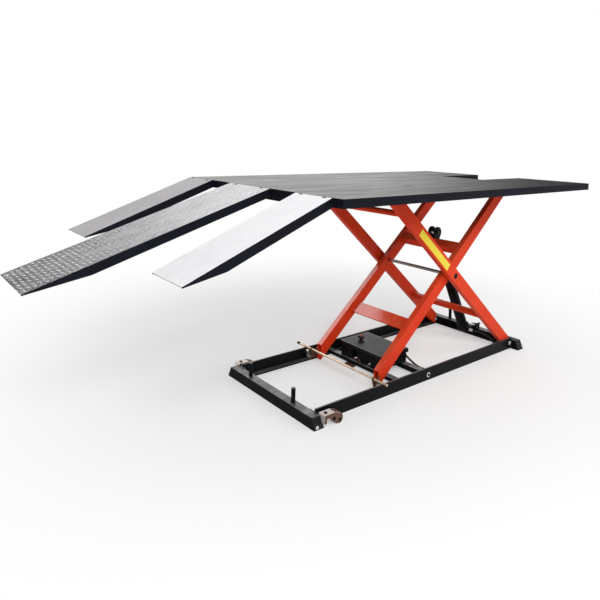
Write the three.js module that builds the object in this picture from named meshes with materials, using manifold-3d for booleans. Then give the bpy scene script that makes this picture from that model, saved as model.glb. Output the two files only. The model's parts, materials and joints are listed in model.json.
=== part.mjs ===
// A motorcycle lift: a double scissor under a wide deck, raised by one hydraulic
// cylinder from a foot pump, with three ramps hinged to the front of the deck.
// Millimetres. +X runs from the ramps to the rear, -Y is the near side, +Z is up.

import * as THREE from 'three';
import { mergeVertices } from 'three/addons/utils/BufferGeometryUtils.js';
import Module from 'manifold-3d';

const wasm = await Module();
wasm.setup();

// Fits and working allowances
const SEAT = 0.3;
const FIT = 0.05;
const OVERRUN = 12;
const ROUND_SIDES = 24;
const SMALL_SIDES = 16;
const SMALL_RADIUS = 12;
const ARC_SEGMENTS = 4;

// Scissor legs
const RAISED_ANGLE = THREE.MathUtils.degToRad(40.2);
const LOWERED_ANGLE = THREE.MathUtils.degToRad(4.5);
const LEG_BELOW = 808;
const LEG_ABOVE = 783;
const PIVOT_RISE = 6;
const TUBE_HEIGHT = 70;
const TUBE_WIDTH = 33;
const TUBE_WALL = 3.5;
const OUTER_LEG_INSET = 46;
const LEG_GAP = 20;
const SHAFT_RADIUS = 10;
const SHAFT_RECESS_RADIUS = 16;
const SHAFT_COLLAR_RADIUS = 17;
const SHAFT_NUT_RADIUS = 13.5;
const NUT_SIDES = 6;
const PIN_RADIUS = 8;

// Rollers
const ROLLER_RADIUS = 30.5;
const ROLLER_WIDTH = 24;
const ROLLER_HUB_RADIUS = 15;
const ROLLER_DISH = 4;
const BASE_ROLLER_INSET = 37;
const DECK_ROLLER_GAP = 7;

// Base frame
const BASE_WIDTH = 610;
const RAIL_HEIGHT = 70;
const RAIL_FLANGE = 40;
const RAIL_WALL = 8;
const FOOT_REACH = 545.7;
const REAR_CROSSBAR_GAP = 16;
const CROSSBAR_FOOT = 64;
const CROSSBAR_TOP = 52;
const CROSSBAR_LEAN = 2;
const CROSSBAR_HEIGHT = 55;
const CROSSBAR_OVERHANG = 52;
const CROSSBAR_END_SLOPE = 22;
const CROSSBAR_WALL = 4;
const POST_RADIUS = 11;
const POST_TOP = 132;
const POST_SIDE_INSET = 129;
const POST_INSET = 24;
const POST_CHAMFER = 2;
const BEARER_WALL = 4;
const BEARER_BEHIND_FOOT = 154.3;
const FRONT_BEARER_WIDTH = 40;
const FRONT_BEARER_HEIGHT = 23;
const BEARER_SPACING = 205;
const REAR_BEARER_WIDTH = 45;
const REAR_BEARER_HEIGHT = 30;
const PIVOT_PIN_HEAD = 12;
const PIVOT_PIN_HEAD_HEIGHT = 5;

// Casters on the front crossbar
const CASTER_RADIUS = 27.5;
const CASTER_WIDTH = 34;
const CASTER_OUTSET = 20;
const CASTER_PLATE = 4;
const CASTER_AXLE_X = 147;
const CASTER_LIFT = 1;
const CASTER_SIDE_GAP = 1;
const CASTER_TOP = 64;
const CASTER_FOOT = 22;
const CASTER_AXLE_RADIUS = 6;
const CASTER_EYE_RADIUS = 26;
const CASTER_EYE_TURN = THREE.MathUtils.degToRad(72);

// Lifting cylinder
const LUG_AHEAD_OF_PIVOT = 50;
const LUG_Z = 60;
const LUG_RADIUS = 21;
const LUG_PLATE = 6;
const LUG_GAP = 33.5;
const LUG_REAR_HEIGHT = 16;
const LUG_REAR_REACH = 36;
const LUG_STUB_RADIUS = 12;
const LUG_STUB_HEIGHT = 4;
const CLEVIS_ALONG = 276;
const CLEVIS_RISE = 31;
const CLEVIS_RADIUS = 36;
const CLEVIS_ROOT_RADIUS = 24;
const CLEVIS_PLATE = 10;
const CLEVIS_GAP = 16;
const CLEVIS_SADDLE = 7;
const CLEVIS_PIN_RADIUS = 10;
const CLEVIS_PIN_HEAD = 15;
const CLEVIS_PIN_HEAD_HEIGHT = 5;
const BARREL_RADIUS = 33;
const BARREL_BORE_RADIUS = 26;
const BARREL_START = 35;
const BARREL_FLOOR = 12;
const BARREL_END = 430;
const GLAND_LENGTH = 30;
const GLAND_RADIUS = 30;
const BARREL_EYE_RADIUS = 22;
const BARREL_EYE_WIDTH = 66;
const ROD_RADIUS = 15;
const ROD_LENGTH = 437;
const PISTON_LENGTH = 28;
const ROD_EYE_RADIUS = 24;
const ROD_EYE_WIDTH = 30;

// Pieces across the legs
const STEP_PLATE_ALONG = -408;
const STEP_PLATE_WIDTH = 80;
const STEP_PLATE_THICKNESS = 9;
const BEAM_ALONG = 204;
const BEAM_SIZE = 55;
const BEAM_WALL = 4;
const LOWER_TUBE_ALONG = 450;
const LOWER_TUBE_DROP = 10;
const LOWER_TUBE_RADIUS = 22.5;
const UPPER_TUBE_ALONG = -605;
const UPPER_TUBE_RADIUS = 17.5;
const ROUND_TUBE_WALL = 3;

// Feet of the inner legs and the lock bar
const FOOT_CUT_BEHIND = 24.3;
const FOOT_PLATE = 5;
const FOOT_EYE_RADIUS = 16;
const FOOT_TAIL_ALONG = 70;
const FOOT_TAIL_RADIUS = 15;
const LOCK_BAR_RADIUS = 6.5;
const LOCK_BAR_AHEAD = 16.7;
const LOCK_BAR_NEAR_REACH = 30;
const LOCK_BAR_FAR_REACH = 43;
const LOCK_BAR_LIFT = 0.5;
const LOCK_BAR_EYE_RADIUS = 12;
const LOCK_BAR_TIP_RADIUS = 8;
const LOCK_BAR_TIP_LENGTH = 22;

// Deck
const DECK_LENGTH = 2200;
const DECK_SIDE_WIDTH = 303;
const DECK_SHEET = 4;
const DECK_EDGE = 40;
const DECK_EDGE_WALL = 3;
const DECK_FRONT_OVERHANG = 120;
const DECK_SLOTS = [
  { fromFront: 315, fromSide: 15, length: 16, width: 6 },
  { fromFront: 816, fromSide: 25, length: 92, width: 10 },
  { fromFront: 1078, fromSide: 40, length: 16, width: 6 },
  { fromFront: 1207, fromSide: 21, length: 16, width: 6 },
];
const WHEEL_SLOT_LENGTH = 457;
const WHEEL_SLOT_INSET = 51;
const TRACK_PLATE = 3;
const TRACK_LIP = 20;
const TRACK_SIDE_PLAY = 3;
const TRACK_MARGIN = 48;
const HINGE_PLATE = 6;
const HINGE_RADIUS = 22;
const HINGE_FRONT = 34;
const STOP_PAD = 50;
const HINGE_PIN_HEAD = 12;
const HINGE_PIN_HEAD_HEIGHT = 4;

// Ramps
const KNUCKLE_RADIUS = 8;
const RAMP_PIN_RADIUS = 4;
const KNUCKLE_WIDTH = 20;
const KNUCKLE_PLACE_SHARE = 0.32;
const RAMP_SHEET = 3;
const RAMP_FLANGE = 40;
const RAMP_FLANGE_WALL = 4;
const RAMP_TIP = 6;
const RAMPS = {
  near: { y: -438.5, width: 229, length: 737, slope: 21.5, kink: 180 },
  centre: { y: 27.5, width: 331, length: 1152, slope: 17.05, kink: 256 },
  far: { y: 487, width: 234, length: 740, slope: 19.65, kink: 207 },
};

// Foot pump
const PUMP_NEAR_Y = -140;
const PUMP_FAR_Y = 179;
const PUMP_TOP = 123;
const PUMP_LENGTH = 249;
const TREADLE_SHEET = 4;
const TREADLE_SKIRT = 22;
const TREADLE_PLAY = 4;
const TREADLE_CLEARANCE = 12;
const TREADLE_PIVOT_DROP = 13;
const TREADLE_PIN_RADIUS = 6;
const PUMP_SADDLE = 20;
const PUMP_LEG_WIDTH = 71;
const PUMP_FAR_WALL = 8;
const PUMP_BLOCK_NEAR_Y = -29;
const PUMP_BRIDGE_FLOOR = 62;
const PUMP_OUTLET = 24;
const PUMP_RECESS_Y = [45, 80];
const PUMP_RECESS_DEPTH = 35;
const PUMP_RECESS_TOP = 97;
const KNOB_INSET = 113;
const KNOB_Y = 109;
const KNOB_RADIUS = 20;
const KNOB_LOBES = 5;
const KNOB_LOBE_SHARE = 0.22;
const KNOB_STEPS = 40;
const KNOB_STEM_RADIUS = 9;
const KNOB_STEM_HEIGHT = 8;
const KNOB_HEIGHT = 15;
const BUTTON_RADIUS = 8;
const BUTTON_HEIGHT = 12;
const BUTTON_TRAVEL = 4;
const BUTTON_PLAY = 0.5;
const BUTTON_DOME = 2;

// Hose from the pump to the foot of the cylinder
const HOSE_RADIUS = 6;
const HOSE_STEPS = 40;
const HOSE_SIDES = 8;
// Its route: X from the pump's rear or from the lug, Y from the middle line or from the rail's face
const HOSE_AT_PUMP = [
  [9, -91, 70],
  [9, -101, 70],
  [9, -119, 66],
  [11, -150, 50],
  [22, -190, 28],
];
const HOSE_PUMP_TO_RAIL = [
  [53, 79, 13],
  [107, 62, 7],
  [171, 58, 6.3],
];
const HOSE_RAIL_TO_LUG = [
  [-330, 58, 6.3],
  [-130, 58, 6.3],
  [-50, 61, 9],
  [2, 83, 21],
];
const HOSE_AT_LUG = [
  [28, -180, 38],
  [26, -132, 52],
  [7, -88, 60],
  [0, -64, 60],
  [0, -45, 60],
];

// Release pedal behind the cylinder
const PEDAL_Y = -56;
const PEDAL_WIDTH = 14;
const PEDAL_BEHIND_PIVOT = 32;
const PEDAL_PIVOT_Z = 82;
const PEDAL_FRONT = 62;
const PEDAL_FRONT_RISE = 22;
const PEDAL_REAR = 24;
const PEDAL_REAR_RISE = 8;
const PEDAL_TIP_RADIUS = 3;
const PEDAL_PIN_RADIUS = 4;
const PEDAL_EYE_RADIUS = 8;
const PEDAL_CHEEK = 4;

// Places that follow from the sizes above
const cosLeg = Math.cos(RAISED_ANGLE);
const sinLeg = Math.sin(RAISED_ANGLE);
const pivotZ = RAIL_WALL + SEAT + ROLLER_RADIUS;
const rearPivotX = FOOT_REACH + 2 * LEG_BELOW * cosLeg;
const frontBearerX = FOOT_REACH + BEARER_BEHIND_FOOT;
const rearBearerX = frontBearerX + BEARER_SPACING;
const footCutX = FOOT_REACH + FOOT_CUT_BEHIND;
const lockBarX = FOOT_REACH - LOCK_BAR_AHEAD;
const lugX = rearPivotX - LUG_AHEAD_OF_PIVOT;
const pedalPivotX = rearPivotX + PEDAL_BEHIND_PIVOT;
const centreX = FOOT_REACH + LEG_BELOW * cosLeg;
const centreZ = pivotZ + LEG_BELOW * sinLeg;
const deckPivotX = centreX + LEG_ABOVE * cosLeg - PIVOT_RISE * sinLeg;
const deckPivotZ = centreZ + LEG_ABOVE * sinLeg + PIVOT_RISE * cosLeg;
const sheetGap = ROLLER_RADIUS + SEAT + TRACK_PLATE + SEAT;
const deckTop = sheetGap + DECK_SHEET;
const halfBase = BASE_WIDTH / 2;
const halfTube = TUBE_HEIGHT / 2;
const rearCrossbarX = rearPivotX + REAR_CROSSBAR_GAP;
const railTop = RAIL_HEIGHT;
const outerLegY = halfBase - OUTER_LEG_INSET;
const outerLegFar = outerLegY + TUBE_WIDTH;
const innerLegY = outerLegY - LEG_GAP - TUBE_WIDTH;
const innerLegFar = innerLegY + TUBE_WIDTH;
const baseRollerY = halfBase - BASE_ROLLER_INSET;
const deckRollerY = outerLegY - ROLLER_WIDTH - DECK_ROLLER_GAP;
const trackY = deckRollerY - TRACK_PLATE - TRACK_SIDE_PLAY;
const trackWidth = ROLLER_WIDTH + 2 * (TRACK_PLATE + TRACK_SIDE_PLAY);
const crossbarLength = BASE_WIDTH + 2 * CROSSBAR_OVERHANG;
const postY = halfBase - POST_SIDE_INSET;
const casterY = halfBase + CASTER_OUTSET;
const lockBarNear = halfBase + LOCK_BAR_NEAR_REACH;
const lockBarFar = halfBase + LOCK_BAR_FAR_REACH;
const deckCentreWidth = BASE_WIDTH;
const wheelSlotWidth = 2 * (innerLegY - WHEEL_SLOT_INSET);

// Finishes
const paint = (color, roughness, metalness) =>
  new THREE.MeshStandardMaterial({ color, roughness, metalness });
const RED = paint(0xd8401f, 0.4, 0.1);
const BLACK = paint(0x17181a, 0.45, 0.2);
const DECK_BLACK = paint(0x26272b, 0.3, 0.3);
const RAMP_GREY = paint(0x6d6f73, 0.35, 0.4);
const STEEL = paint(0xb4b6b8, 0.3, 0.9);
const BRASS_ZINC = paint(0xb29a6a, 0.35, 0.9);
const RUBBER = paint(0x1b1b1b, 0.8, 0);
const BUTTON_RED = paint(0xc8281c, 0.4, 0);

// Turns a closed geometry into a solid that can be joined and cut
function solid(geometry) {
  geometry.deleteAttribute('normal');
  geometry.deleteAttribute('uv');
  const merged = mergeVertices(geometry);
  const vertProperties = Float32Array.from(merged.attributes.position.array);
  const triVerts = Uint32Array.from(merged.index.array);
  return new wasm.Manifold(new wasm.Mesh({ numProp: 3, vertProperties, triVerts }));
}

function join(...pieces) {
  return pieces.reduce((sum, piece) => sum.add(piece));
}

function cut(body, ...tools) {
  return tools.reduce((rest, tool) => rest.subtract(tool), body);
}

function addPart(group, name, body, material) {
  const { vertProperties, triVerts } = body.getMesh();
  const geometry = new THREE.BufferGeometry();
  geometry.setAttribute('position', new THREE.BufferAttribute(vertProperties, 3));
  geometry.setIndex(new THREE.BufferAttribute(triVerts, 1));
  geometry.computeVertexNormals();
  const mesh = new THREE.Mesh(geometry, material);
  mesh.name = name;
  group.add(mesh);
}

// A block between two corners
function block([x0, x1], [y0, y1], [z0, z1]) {
  const geometry = new THREE.BoxGeometry(x1 - x0, y1 - y0, z1 - z0);
  geometry.translate((x0 + x1) / 2, (y0 + y1) / 2, (z0 + z1) / 2);
  return solid(geometry);
}

// A range of Y on the near side (-1) or the far side (+1)
function sideRange(side, from, to) {
  return side > 0 ? [from, to] : [-to, -from];
}

function outline(points) {
  return new THREE.Shape(points.map(([x, y]) => new THREE.Vector2(x, y)));
}

// An outline drawn in X and Z, drawn out across Y
function across(shape, [y0, y1], curveSegments = ARC_SEGMENTS) {
  const geometry = new THREE.ExtrudeGeometry(shape, { depth: y1 - y0, bevelEnabled: false, curveSegments });
  geometry.rotateX(Math.PI / 2);
  geometry.translate(0, y1, 0);
  return solid(geometry);
}

// An outline drawn in Y and Z, drawn out along X
function along(shape, [x0, x1]) {
  const geometry = new THREE.ExtrudeGeometry(shape, { depth: x1 - x0, bevelEnabled: false });
  const turn = new THREE.Matrix4().makeBasis(
    new THREE.Vector3(0, 1, 0),
    new THREE.Vector3(0, 0, 1),
    new THREE.Vector3(1, 0, 0),
  );
  geometry.applyMatrix4(turn);
  geometry.translate(x0, 0, 0);
  return solid(geometry);
}

// An outline drawn in X and Y, drawn out upwards
function upright(shape, [z0, z1]) {
  const geometry = new THREE.ExtrudeGeometry(shape, { depth: z1 - z0, bevelEnabled: false });
  geometry.translate(0, 0, z0);
  return solid(geometry);
}

function sidesFor(radius) {
  return radius > SMALL_RADIUS ? ROUND_SIDES : SMALL_SIDES;
}

// A bar lying across Y
function barY(radius, [y0, y1], x = 0, z = 0, sides = sidesFor(radius)) {
  const geometry = new THREE.CylinderGeometry(radius, radius, y1 - y0, sides);
  geometry.translate(x, (y0 + y1) / 2, z);
  return solid(geometry);
}

// The cutter for a bore whose flats just clear a bar of the same radius
function boreY(radius, range, x = 0, z = 0) {
  const sides = sidesFor(radius);
  return barY((radius + FIT) / Math.cos(Math.PI / sides), range, x, z, sides);
}

// A turned body, from a profile of [radius, height] pairs
function lathe(profile) {
  const points = profile.map(([radius, height]) => new THREE.Vector2(radius, height));
  return new THREE.LatheGeometry(points, sidesFor(Math.max(...profile.map(([radius]) => radius))));
}

// A body of revolution about Y
function turnedY(profile) {
  return solid(lathe(profile));
}

// A body of revolution about Z
function turnedZ(profile) {
  const geometry = lathe(profile);
  geometry.rotateX(Math.PI / 2);
  return solid(geometry);
}

// A body of revolution about X
function turnedX(profile) {
  const geometry = lathe(profile);
  geometry.rotateZ(-Math.PI / 2);
  return solid(geometry);
}

// A plate with two round ends, cut from sheet that stands in X and Z
function linkPlate(x1, z1, r1, x2, z2, r2, range) {
  const reach = Math.hypot(x2 - x1, z2 - z1);
  const heading = Math.atan2(z2 - z1, x2 - x1);
  const spread = Math.acos((r1 - r2) / reach);
  const shape = new THREE.Shape();
  shape.absarc(x1, z1, r1, heading + spread, heading - spread + 2 * Math.PI, false);
  shape.absarc(x2, z2, r2, heading - spread, heading + spread, false);
  return across(shape, range);
}

// Base frame

// The folded crossbar's outside, grown outwards by a given amount; the upright face is at x = 0
function crossbarHull(grow, floor) {
  const top = CROSSBAR_HEIGHT + grow;
  const rise = (z) => z / CROSSBAR_HEIGHT;
  const frontX = (z) => CROSSBAR_LEAN * rise(z) - grow;
  const rearX = (z) => CROSSBAR_FOOT - (CROSSBAR_FOOT - CROSSBAR_LEAN - CROSSBAR_TOP) * rise(z) + grow;
  const endY = (z) => crossbarLength / 2 - CROSSBAR_END_SLOPE * rise(z) + grow;
  const side = outline([[frontX(floor), floor], [rearX(floor), floor], [rearX(top), top], [frontX(top), top]]);
  const front = outline([[-endY(floor), floor], [endY(floor), floor], [endY(top), top], [-endY(top), top]]);
  const width = [-crossbarLength, crossbarLength];
  return across(side, width).intersect(along(front, [-CROSSBAR_FOOT, 2 * CROSSBAR_FOOT]));
}

function crossbar() {
  return cut(crossbarHull(0, 0), crossbarHull(-CROSSBAR_WALL, -OVERRUN));
}

// The rear crossbar is the front one turned round
function facingRear(body) {
  return body.rotate([0, 0, 180]).translate([rearCrossbarX + CROSSBAR_FOOT, 0, 0]);
}

function rail(side) {
  const [outer, web, inner] = [halfBase, halfBase - RAIL_WALL, halfBase - RAIL_FLANGE];
  const x = [CROSSBAR_LEAN + CROSSBAR_TOP, rearCrossbarX + CROSSBAR_FOOT - CROSSBAR_LEAN - CROSSBAR_TOP];
  const angle = join(
    block(x, sideRange(side, web, outer), [0, RAIL_HEIGHT]),
    block(x, sideRange(side, inner, web), [0, RAIL_WALL]),
  );
  const hole = boreY(PIN_RADIUS, sideRange(side, web - OVERRUN, outer + OVERRUN), rearPivotX, pivotZ);
  const seats = [crossbarHull(SEAT, -OVERRUN), facingRear(crossbarHull(SEAT, -OVERRUN))];
  return cut(angle, hole, ...seats);
}

function bearer(x, width, height) {
  const half = halfBase - RAIL_WALL - SEAT;
  const floor = RAIL_WALL + SEAT;
  const outside = block([x, x + width], [-half, half], [floor, floor + height]);
  const inside = block(
    [x + BEARER_WALL, x + width - BEARER_WALL],
    [-half - OVERRUN, half + OVERRUN],
    [floor - OVERRUN, floor + height - BEARER_WALL],
  );
  return cut(outside, inside);
}

function stopPost() {
  return turnedZ([
    [0, CROSSBAR_HEIGHT + SEAT],
    [POST_RADIUS, CROSSBAR_HEIGHT + SEAT],
    [POST_RADIUS, POST_TOP - POST_CHAMFER],
    [POST_RADIUS - POST_CHAMFER, POST_TOP],
    [0, POST_TOP],
  ]);
}

// The pin that holds the foot of an outer leg, headed outside the rail
function pivotPin(side) {
  const inner = outerLegY - PIVOT_PIN_HEAD_HEIGHT;
  const shank = barY(PIN_RADIUS, sideRange(side, inner, halfBase + SEAT), rearPivotX, pivotZ);
  const headRange = sideRange(side, halfBase + SEAT, halfBase + SEAT + PIVOT_PIN_HEAD_HEIGHT);
  const keeperRange = sideRange(side, inner, outerLegY - SEAT);
  return join(
    shank,
    barY(PIVOT_PIN_HEAD, headRange, rearPivotX, pivotZ),
    barY(PIVOT_PIN_HEAD, keeperRange, rearPivotX, pivotZ),
  );
}

// A caster fork: two cheeks with round ends, a top and a face bolted to the crossbar
function casterBracket(side) {
  const axleZ = CASTER_RADIUS + CASTER_LIFT;
  const width = CASTER_WIDTH + 2 * (CASTER_SIDE_GAP + CASTER_PLATE);
  const faceX = CROSSBAR_LEAN + CROSSBAR_TOP + SEAT;
  const cheekShape = new THREE.Shape();
  cheekShape.moveTo(faceX, CASTER_FOOT);
  cheekShape.absarc(CASTER_AXLE_X, axleZ, CASTER_EYE_RADIUS, -Math.PI / 2, CASTER_EYE_TURN, false);
  cheekShape.lineTo(CASTER_AXLE_X - CASTER_EYE_RADIUS, CASTER_TOP);
  cheekShape.lineTo(faceX, CASTER_TOP);
  const cheek = (from) => across(cheekShape, sideRange(side, from, from + CASTER_PLATE));
  const whole = sideRange(side, casterY, casterY + width);
  const innerWidth = sideRange(side, casterY + SEAT, casterY + width - SEAT);
  const fork = join(
    cheek(casterY),
    cheek(casterY + width - CASTER_PLATE),
    block([faceX, CASTER_AXLE_X - CASTER_EYE_RADIUS], whole, [CASTER_TOP - CASTER_PLATE, CASTER_TOP]),
    block([faceX, CROSSBAR_FOOT + CASTER_PLATE], whole, [CASTER_FOOT, CASTER_TOP]),
    barY(CASTER_AXLE_RADIUS, innerWidth, CASTER_AXLE_X, axleZ),
  );
  return cut(fork, crossbarHull(SEAT, -OVERRUN));
}

function casterWheel(side) {
  const from = casterY + CASTER_PLATE + CASTER_SIDE_GAP;
  const range = sideRange(side, from, from + CASTER_WIDTH);
  const longer = [range[0] - OVERRUN, range[1] + OVERRUN];
  return cut(barY(CASTER_RADIUS, range), boreY(CASTER_AXLE_RADIUS, longer));
}

// Two cheeks that stand on the rear crossbar and hold the foot of the cylinder
function cylinderLug() {
  const seatX = rearCrossbarX + CROSSBAR_FOOT - CROSSBAR_LEAN - CROSSBAR_TOP;
  const rearX = seatX + LUG_REAR_REACH;
  const seatZ = CROSSBAR_HEIGHT + SEAT;
  const shape = new THREE.Shape();
  shape.absarc(lugX, LUG_Z, LUG_RADIUS, Math.PI / 2, Math.PI * 1.5, false);
  shape.lineTo(rearCrossbarX + OVERRUN, LUG_Z - LUG_RADIUS);
  shape.lineTo(rearX, seatZ);
  shape.lineTo(rearX, seatZ + LUG_REAR_HEIGHT);
  const cheek = (side) => across(shape, sideRange(side, LUG_GAP, LUG_GAP + LUG_PLATE));
  const tie = block([seatX + LUG_PLATE, rearX], [-LUG_GAP, LUG_GAP], [seatZ, seatZ + LUG_PLATE]);
  const stub = (side) => barY(
    LUG_STUB_RADIUS,
    sideRange(side, LUG_GAP + LUG_PLATE, LUG_GAP + LUG_PLATE + LUG_STUB_HEIGHT),
    lugX,
    LUG_Z,
  );
  const seat = facingRear(crossbarHull(SEAT, -OVERRUN));
  return cut(join(cheek(-1), cheek(1), tie, stub(-1), stub(1)), seat);
}

function buildBase(base) {
  addPart(base, 'crossbar_front', crossbar(), BLACK);
  addPart(base, 'crossbar_rear', facingRear(crossbar()), BLACK);
  addPart(base, 'bearer_front', bearer(frontBearerX, FRONT_BEARER_WIDTH, FRONT_BEARER_HEIGHT), BLACK);
  addPart(base, 'bearer_rear', bearer(rearBearerX, REAR_BEARER_WIDTH, REAR_BEARER_HEIGHT), BLACK);
  addPart(base, 'cylinder_lug', cylinderLug(), BLACK);
  for (const [name, side] of [['near', -1], ['far', 1]]) {
    addPart(base, `rail_${name}`, rail(side), BLACK);
    addPart(base, `pivot_pin_${name}`, pivotPin(side), STEEL);
    addPart(base, `caster_bracket_${name}`, casterBracket(side), BRASS_ZINC);
    const wheel = new THREE.Group();
    wheel.position.set(CASTER_AXLE_X, 0, CASTER_RADIUS + CASTER_LIFT);
    addPart(wheel, `caster_wheel_${name}`, casterWheel(side), STEEL);
    base.add(wheel);
    for (const [end, x] of [['front', POST_INSET], ['rear', rearCrossbarX + CROSSBAR_FOOT - POST_INSET - CROSSBAR_LEAN]]) {
      const post = new THREE.Group();
      post.position.set(x, side * postY, 0);
      addPart(post, `stop_post_${end}_${name}`, stopPost(), BLACK);
      base.add(post);
    }
  }
}

// Legs, drawn level with their centre pivot at the origin and +X to the rear

// The end of a leg that carries a deck roller or a deck hinge; the top corner is cut back to clear the deck sheet
function upperEnd(direction) {
  const headroom = ROLLER_RADIUS - SEAT;
  const flat = halfTube - PIVOT_RISE;
  const corner = Math.sqrt(headroom ** 2 - flat ** 2);
  const end = HINGE_RADIUS;
  const endTop = PIVOT_RISE + Math.sqrt(headroom ** 2 - end ** 2);
  return [
    [direction * (LEG_ABOVE + end), -halfTube],
    [direction * (LEG_ABOVE + end), endTop],
    [direction * (LEG_ABOVE + corner), halfTube],
  ];
}

// The foot of an outer leg turns on a fixed pin and is trimmed to clear the rail and the crossbar
function outerFoot() {
  const clear = ROLLER_RADIUS - SEAT;
  const upright = REAR_CROSSBAR_GAP - 2 * TUBE_WALL;
  const nose = REAR_CROSSBAR_GAP - TUBE_WALL;
  return [
    [LEG_BELOW + (upright - halfTube * sinLeg) / cosLeg, halfTube],
    [LEG_BELOW + nose, (upright - nose * cosLeg) / sinLeg],
    [LEG_BELOW + nose, -Math.sqrt(clear ** 2 - nose ** 2)],
    [LEG_BELOW, -clear],
    [LEG_BELOW - 2 * clear, -halfTube],
  ];
}

// The foot of an inner leg is cut upright, short of its roller
function innerFoot() {
  const cutBack = (footCutX - centreX);
  return [
    [(cutBack + halfTube * sinLeg) / cosLeg, halfTube],
    [(cutBack - halfTube * sinLeg) / cosLeg, -halfTube],
  ];
}

function legTube(points, range) {
  const hollow = [range[0] + TUBE_WALL, range[1] - TUBE_WALL];
  const reach = LEG_BELOW + 2 * TUBE_HEIGHT;
  const inside = block([-reach, reach], hollow, [-halfTube + TUBE_WALL, halfTube - TUBE_WALL]);
  return cut(across(outline(points), range), inside);
}

function outerLeg(side) {
  const range = sideRange(side, outerLegY, outerLegFar);
  const through = [range[0] - OVERRUN, range[1] + OVERRUN];
  const tube = legTube([...upperEnd(-1), ...outerFoot()], range);
  const innerWall = sideRange(side, outerLegY - OVERRUN, outerLegY + TUBE_WALL + OVERRUN);
  const outerWall = sideRange(side, outerLegFar - OVERRUN, outerLegFar + OVERRUN);
  const axle = sideRange(side, deckRollerY - SEAT, outerLegFar - TUBE_WALL / 2);
  return join(
    cut(
      tube,
      boreY(PIN_RADIUS, through, LEG_BELOW, 0),
      boreY(SHAFT_RADIUS, innerWall),
      barY(SHAFT_RECESS_RADIUS, outerWall),
    ),
    barY(PIN_RADIUS, axle, -LEG_ABOVE, PIVOT_RISE),
  );
}

function innerLeg(side) {
  const range = sideRange(side, innerLegY, innerLegFar);
  const through = [range[0] - OVERRUN, range[1] + OVERRUN];
  const tube = legTube([...innerFoot(), ...upperEnd(1)], range);
  return cut(tube, boreY(SHAFT_RADIUS, through), boreY(PIN_RADIUS, through, LEG_ABOVE, PIVOT_RISE));
}

// The shaft through all four legs, with a collar in each gap between them
function centreShaft() {
  const end = outerLegFar - 2 * TUBE_WALL;
  const nut = end - PIVOT_PIN_HEAD_HEIGHT;
  const collar = (side) => barY(SHAFT_COLLAR_RADIUS, sideRange(side, innerLegFar + SEAT, outerLegY - SEAT));
  const nutAt = (side) => barY(SHAFT_NUT_RADIUS, sideRange(side, nut, end), 0, 0, NUT_SIDES);
  return join(barY(SHAFT_RADIUS, [-end, end]), collar(-1), collar(1), nutAt(-1), nutAt(1));
}

function roundTube(radius, half) {
  return cut(barY(radius, [-half, half]), barY(radius - ROUND_TUBE_WALL, [-half - OVERRUN, half + OVERRUN]));
}

// A steel roller, dished round its hub on the face at y = 0
function roller() {
  const dish = ROLLER_DISH;
  const rim = ROLLER_RADIUS - dish;
  const body = turnedY([
    [0, 0],
    [ROLLER_HUB_RADIUS, 0],
    [ROLLER_HUB_RADIUS, dish],
    [rim, dish],
    [rim, 0],
    [ROLLER_RADIUS, 0],
    [ROLLER_RADIUS, ROLLER_WIDTH],
    [0, ROLLER_WIDTH],
  ]);
  return cut(body, boreY(PIN_RADIUS, [-OVERRUN, ROLLER_WIDTH + OVERRUN]));
}

// The foot fitting of an inner leg: a cheek on its outer side, the roller's axle and the eye for the lock bar
function footBracket(side, barX, barZ) {
  const cheek = sideRange(side, innerLegFar + SEAT, innerLegFar + SEAT + FOOT_PLATE);
  const axle = sideRange(side, innerLegFar + SEAT, baseRollerY + ROLLER_WIDTH - SEAT);
  const spacer = sideRange(side, innerLegFar + SEAT, baseRollerY - SEAT);
  const through = sideRange(side, innerLegY, innerLegFar + 2 * OVERRUN);
  const tail = -LEG_BELOW + FOOT_TAIL_ALONG;
  return join(
    cut(
      join(
        linkPlate(-LEG_BELOW, 0, FOOT_EYE_RADIUS, tail, 0, FOOT_TAIL_RADIUS, cheek),
        linkPlate(-LEG_BELOW, 0, FOOT_EYE_RADIUS, barX, barZ, LOCK_BAR_EYE_RADIUS, cheek),
      ),
      boreY(LOCK_BAR_RADIUS, through, barX, barZ),
    ),
    barY(PIN_RADIUS, axle, -LEG_BELOW, 0),
    barY(FOOT_EYE_RADIUS - FOOT_PLATE, spacer, -LEG_BELOW, 0),
  );
}

function beam() {
  const half = innerLegY - SEAT;
  const size = BEAM_SIZE / 2;
  const hollow = size - BEAM_WALL;
  return cut(
    block([BEAM_ALONG - size, BEAM_ALONG + size], [-half, half], [-size, size]),
    block([BEAM_ALONG - hollow, BEAM_ALONG + hollow], [-half - OVERRUN, half + OVERRUN], [-hollow, hollow]),
  );
}

// Two ears and a saddle on the rear of the beam, for the top of the cylinder
function clevis() {
  const rear = BEAM_ALONG + BEAM_SIZE / 2 + SEAT;
  const size = BEAM_SIZE / 2;
  const width = CLEVIS_GAP + CLEVIS_PLATE;
  const ear = (side) => linkPlate(
    BEAM_ALONG + size, 0, CLEVIS_ROOT_RADIUS,
    CLEVIS_ALONG, CLEVIS_RISE, CLEVIS_RADIUS,
    sideRange(side, CLEVIS_GAP, width),
  );
  const saddle = block([rear, rear + CLEVIS_SADDLE], [-width, width], [-CLEVIS_ROOT_RADIUS, CLEVIS_ROOT_RADIUS]);
  const seat = block(
    [BEAM_ALONG - TUBE_HEIGHT, rear],
    [-width - OVERRUN, width + OVERRUN],
    [-TUBE_HEIGHT, size + SEAT],
  );
  const bore = boreY(CLEVIS_PIN_RADIUS, [-width - OVERRUN, width + OVERRUN], CLEVIS_ALONG, CLEVIS_RISE);
  return cut(join(ear(-1), ear(1), saddle), seat, bore);
}

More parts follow.
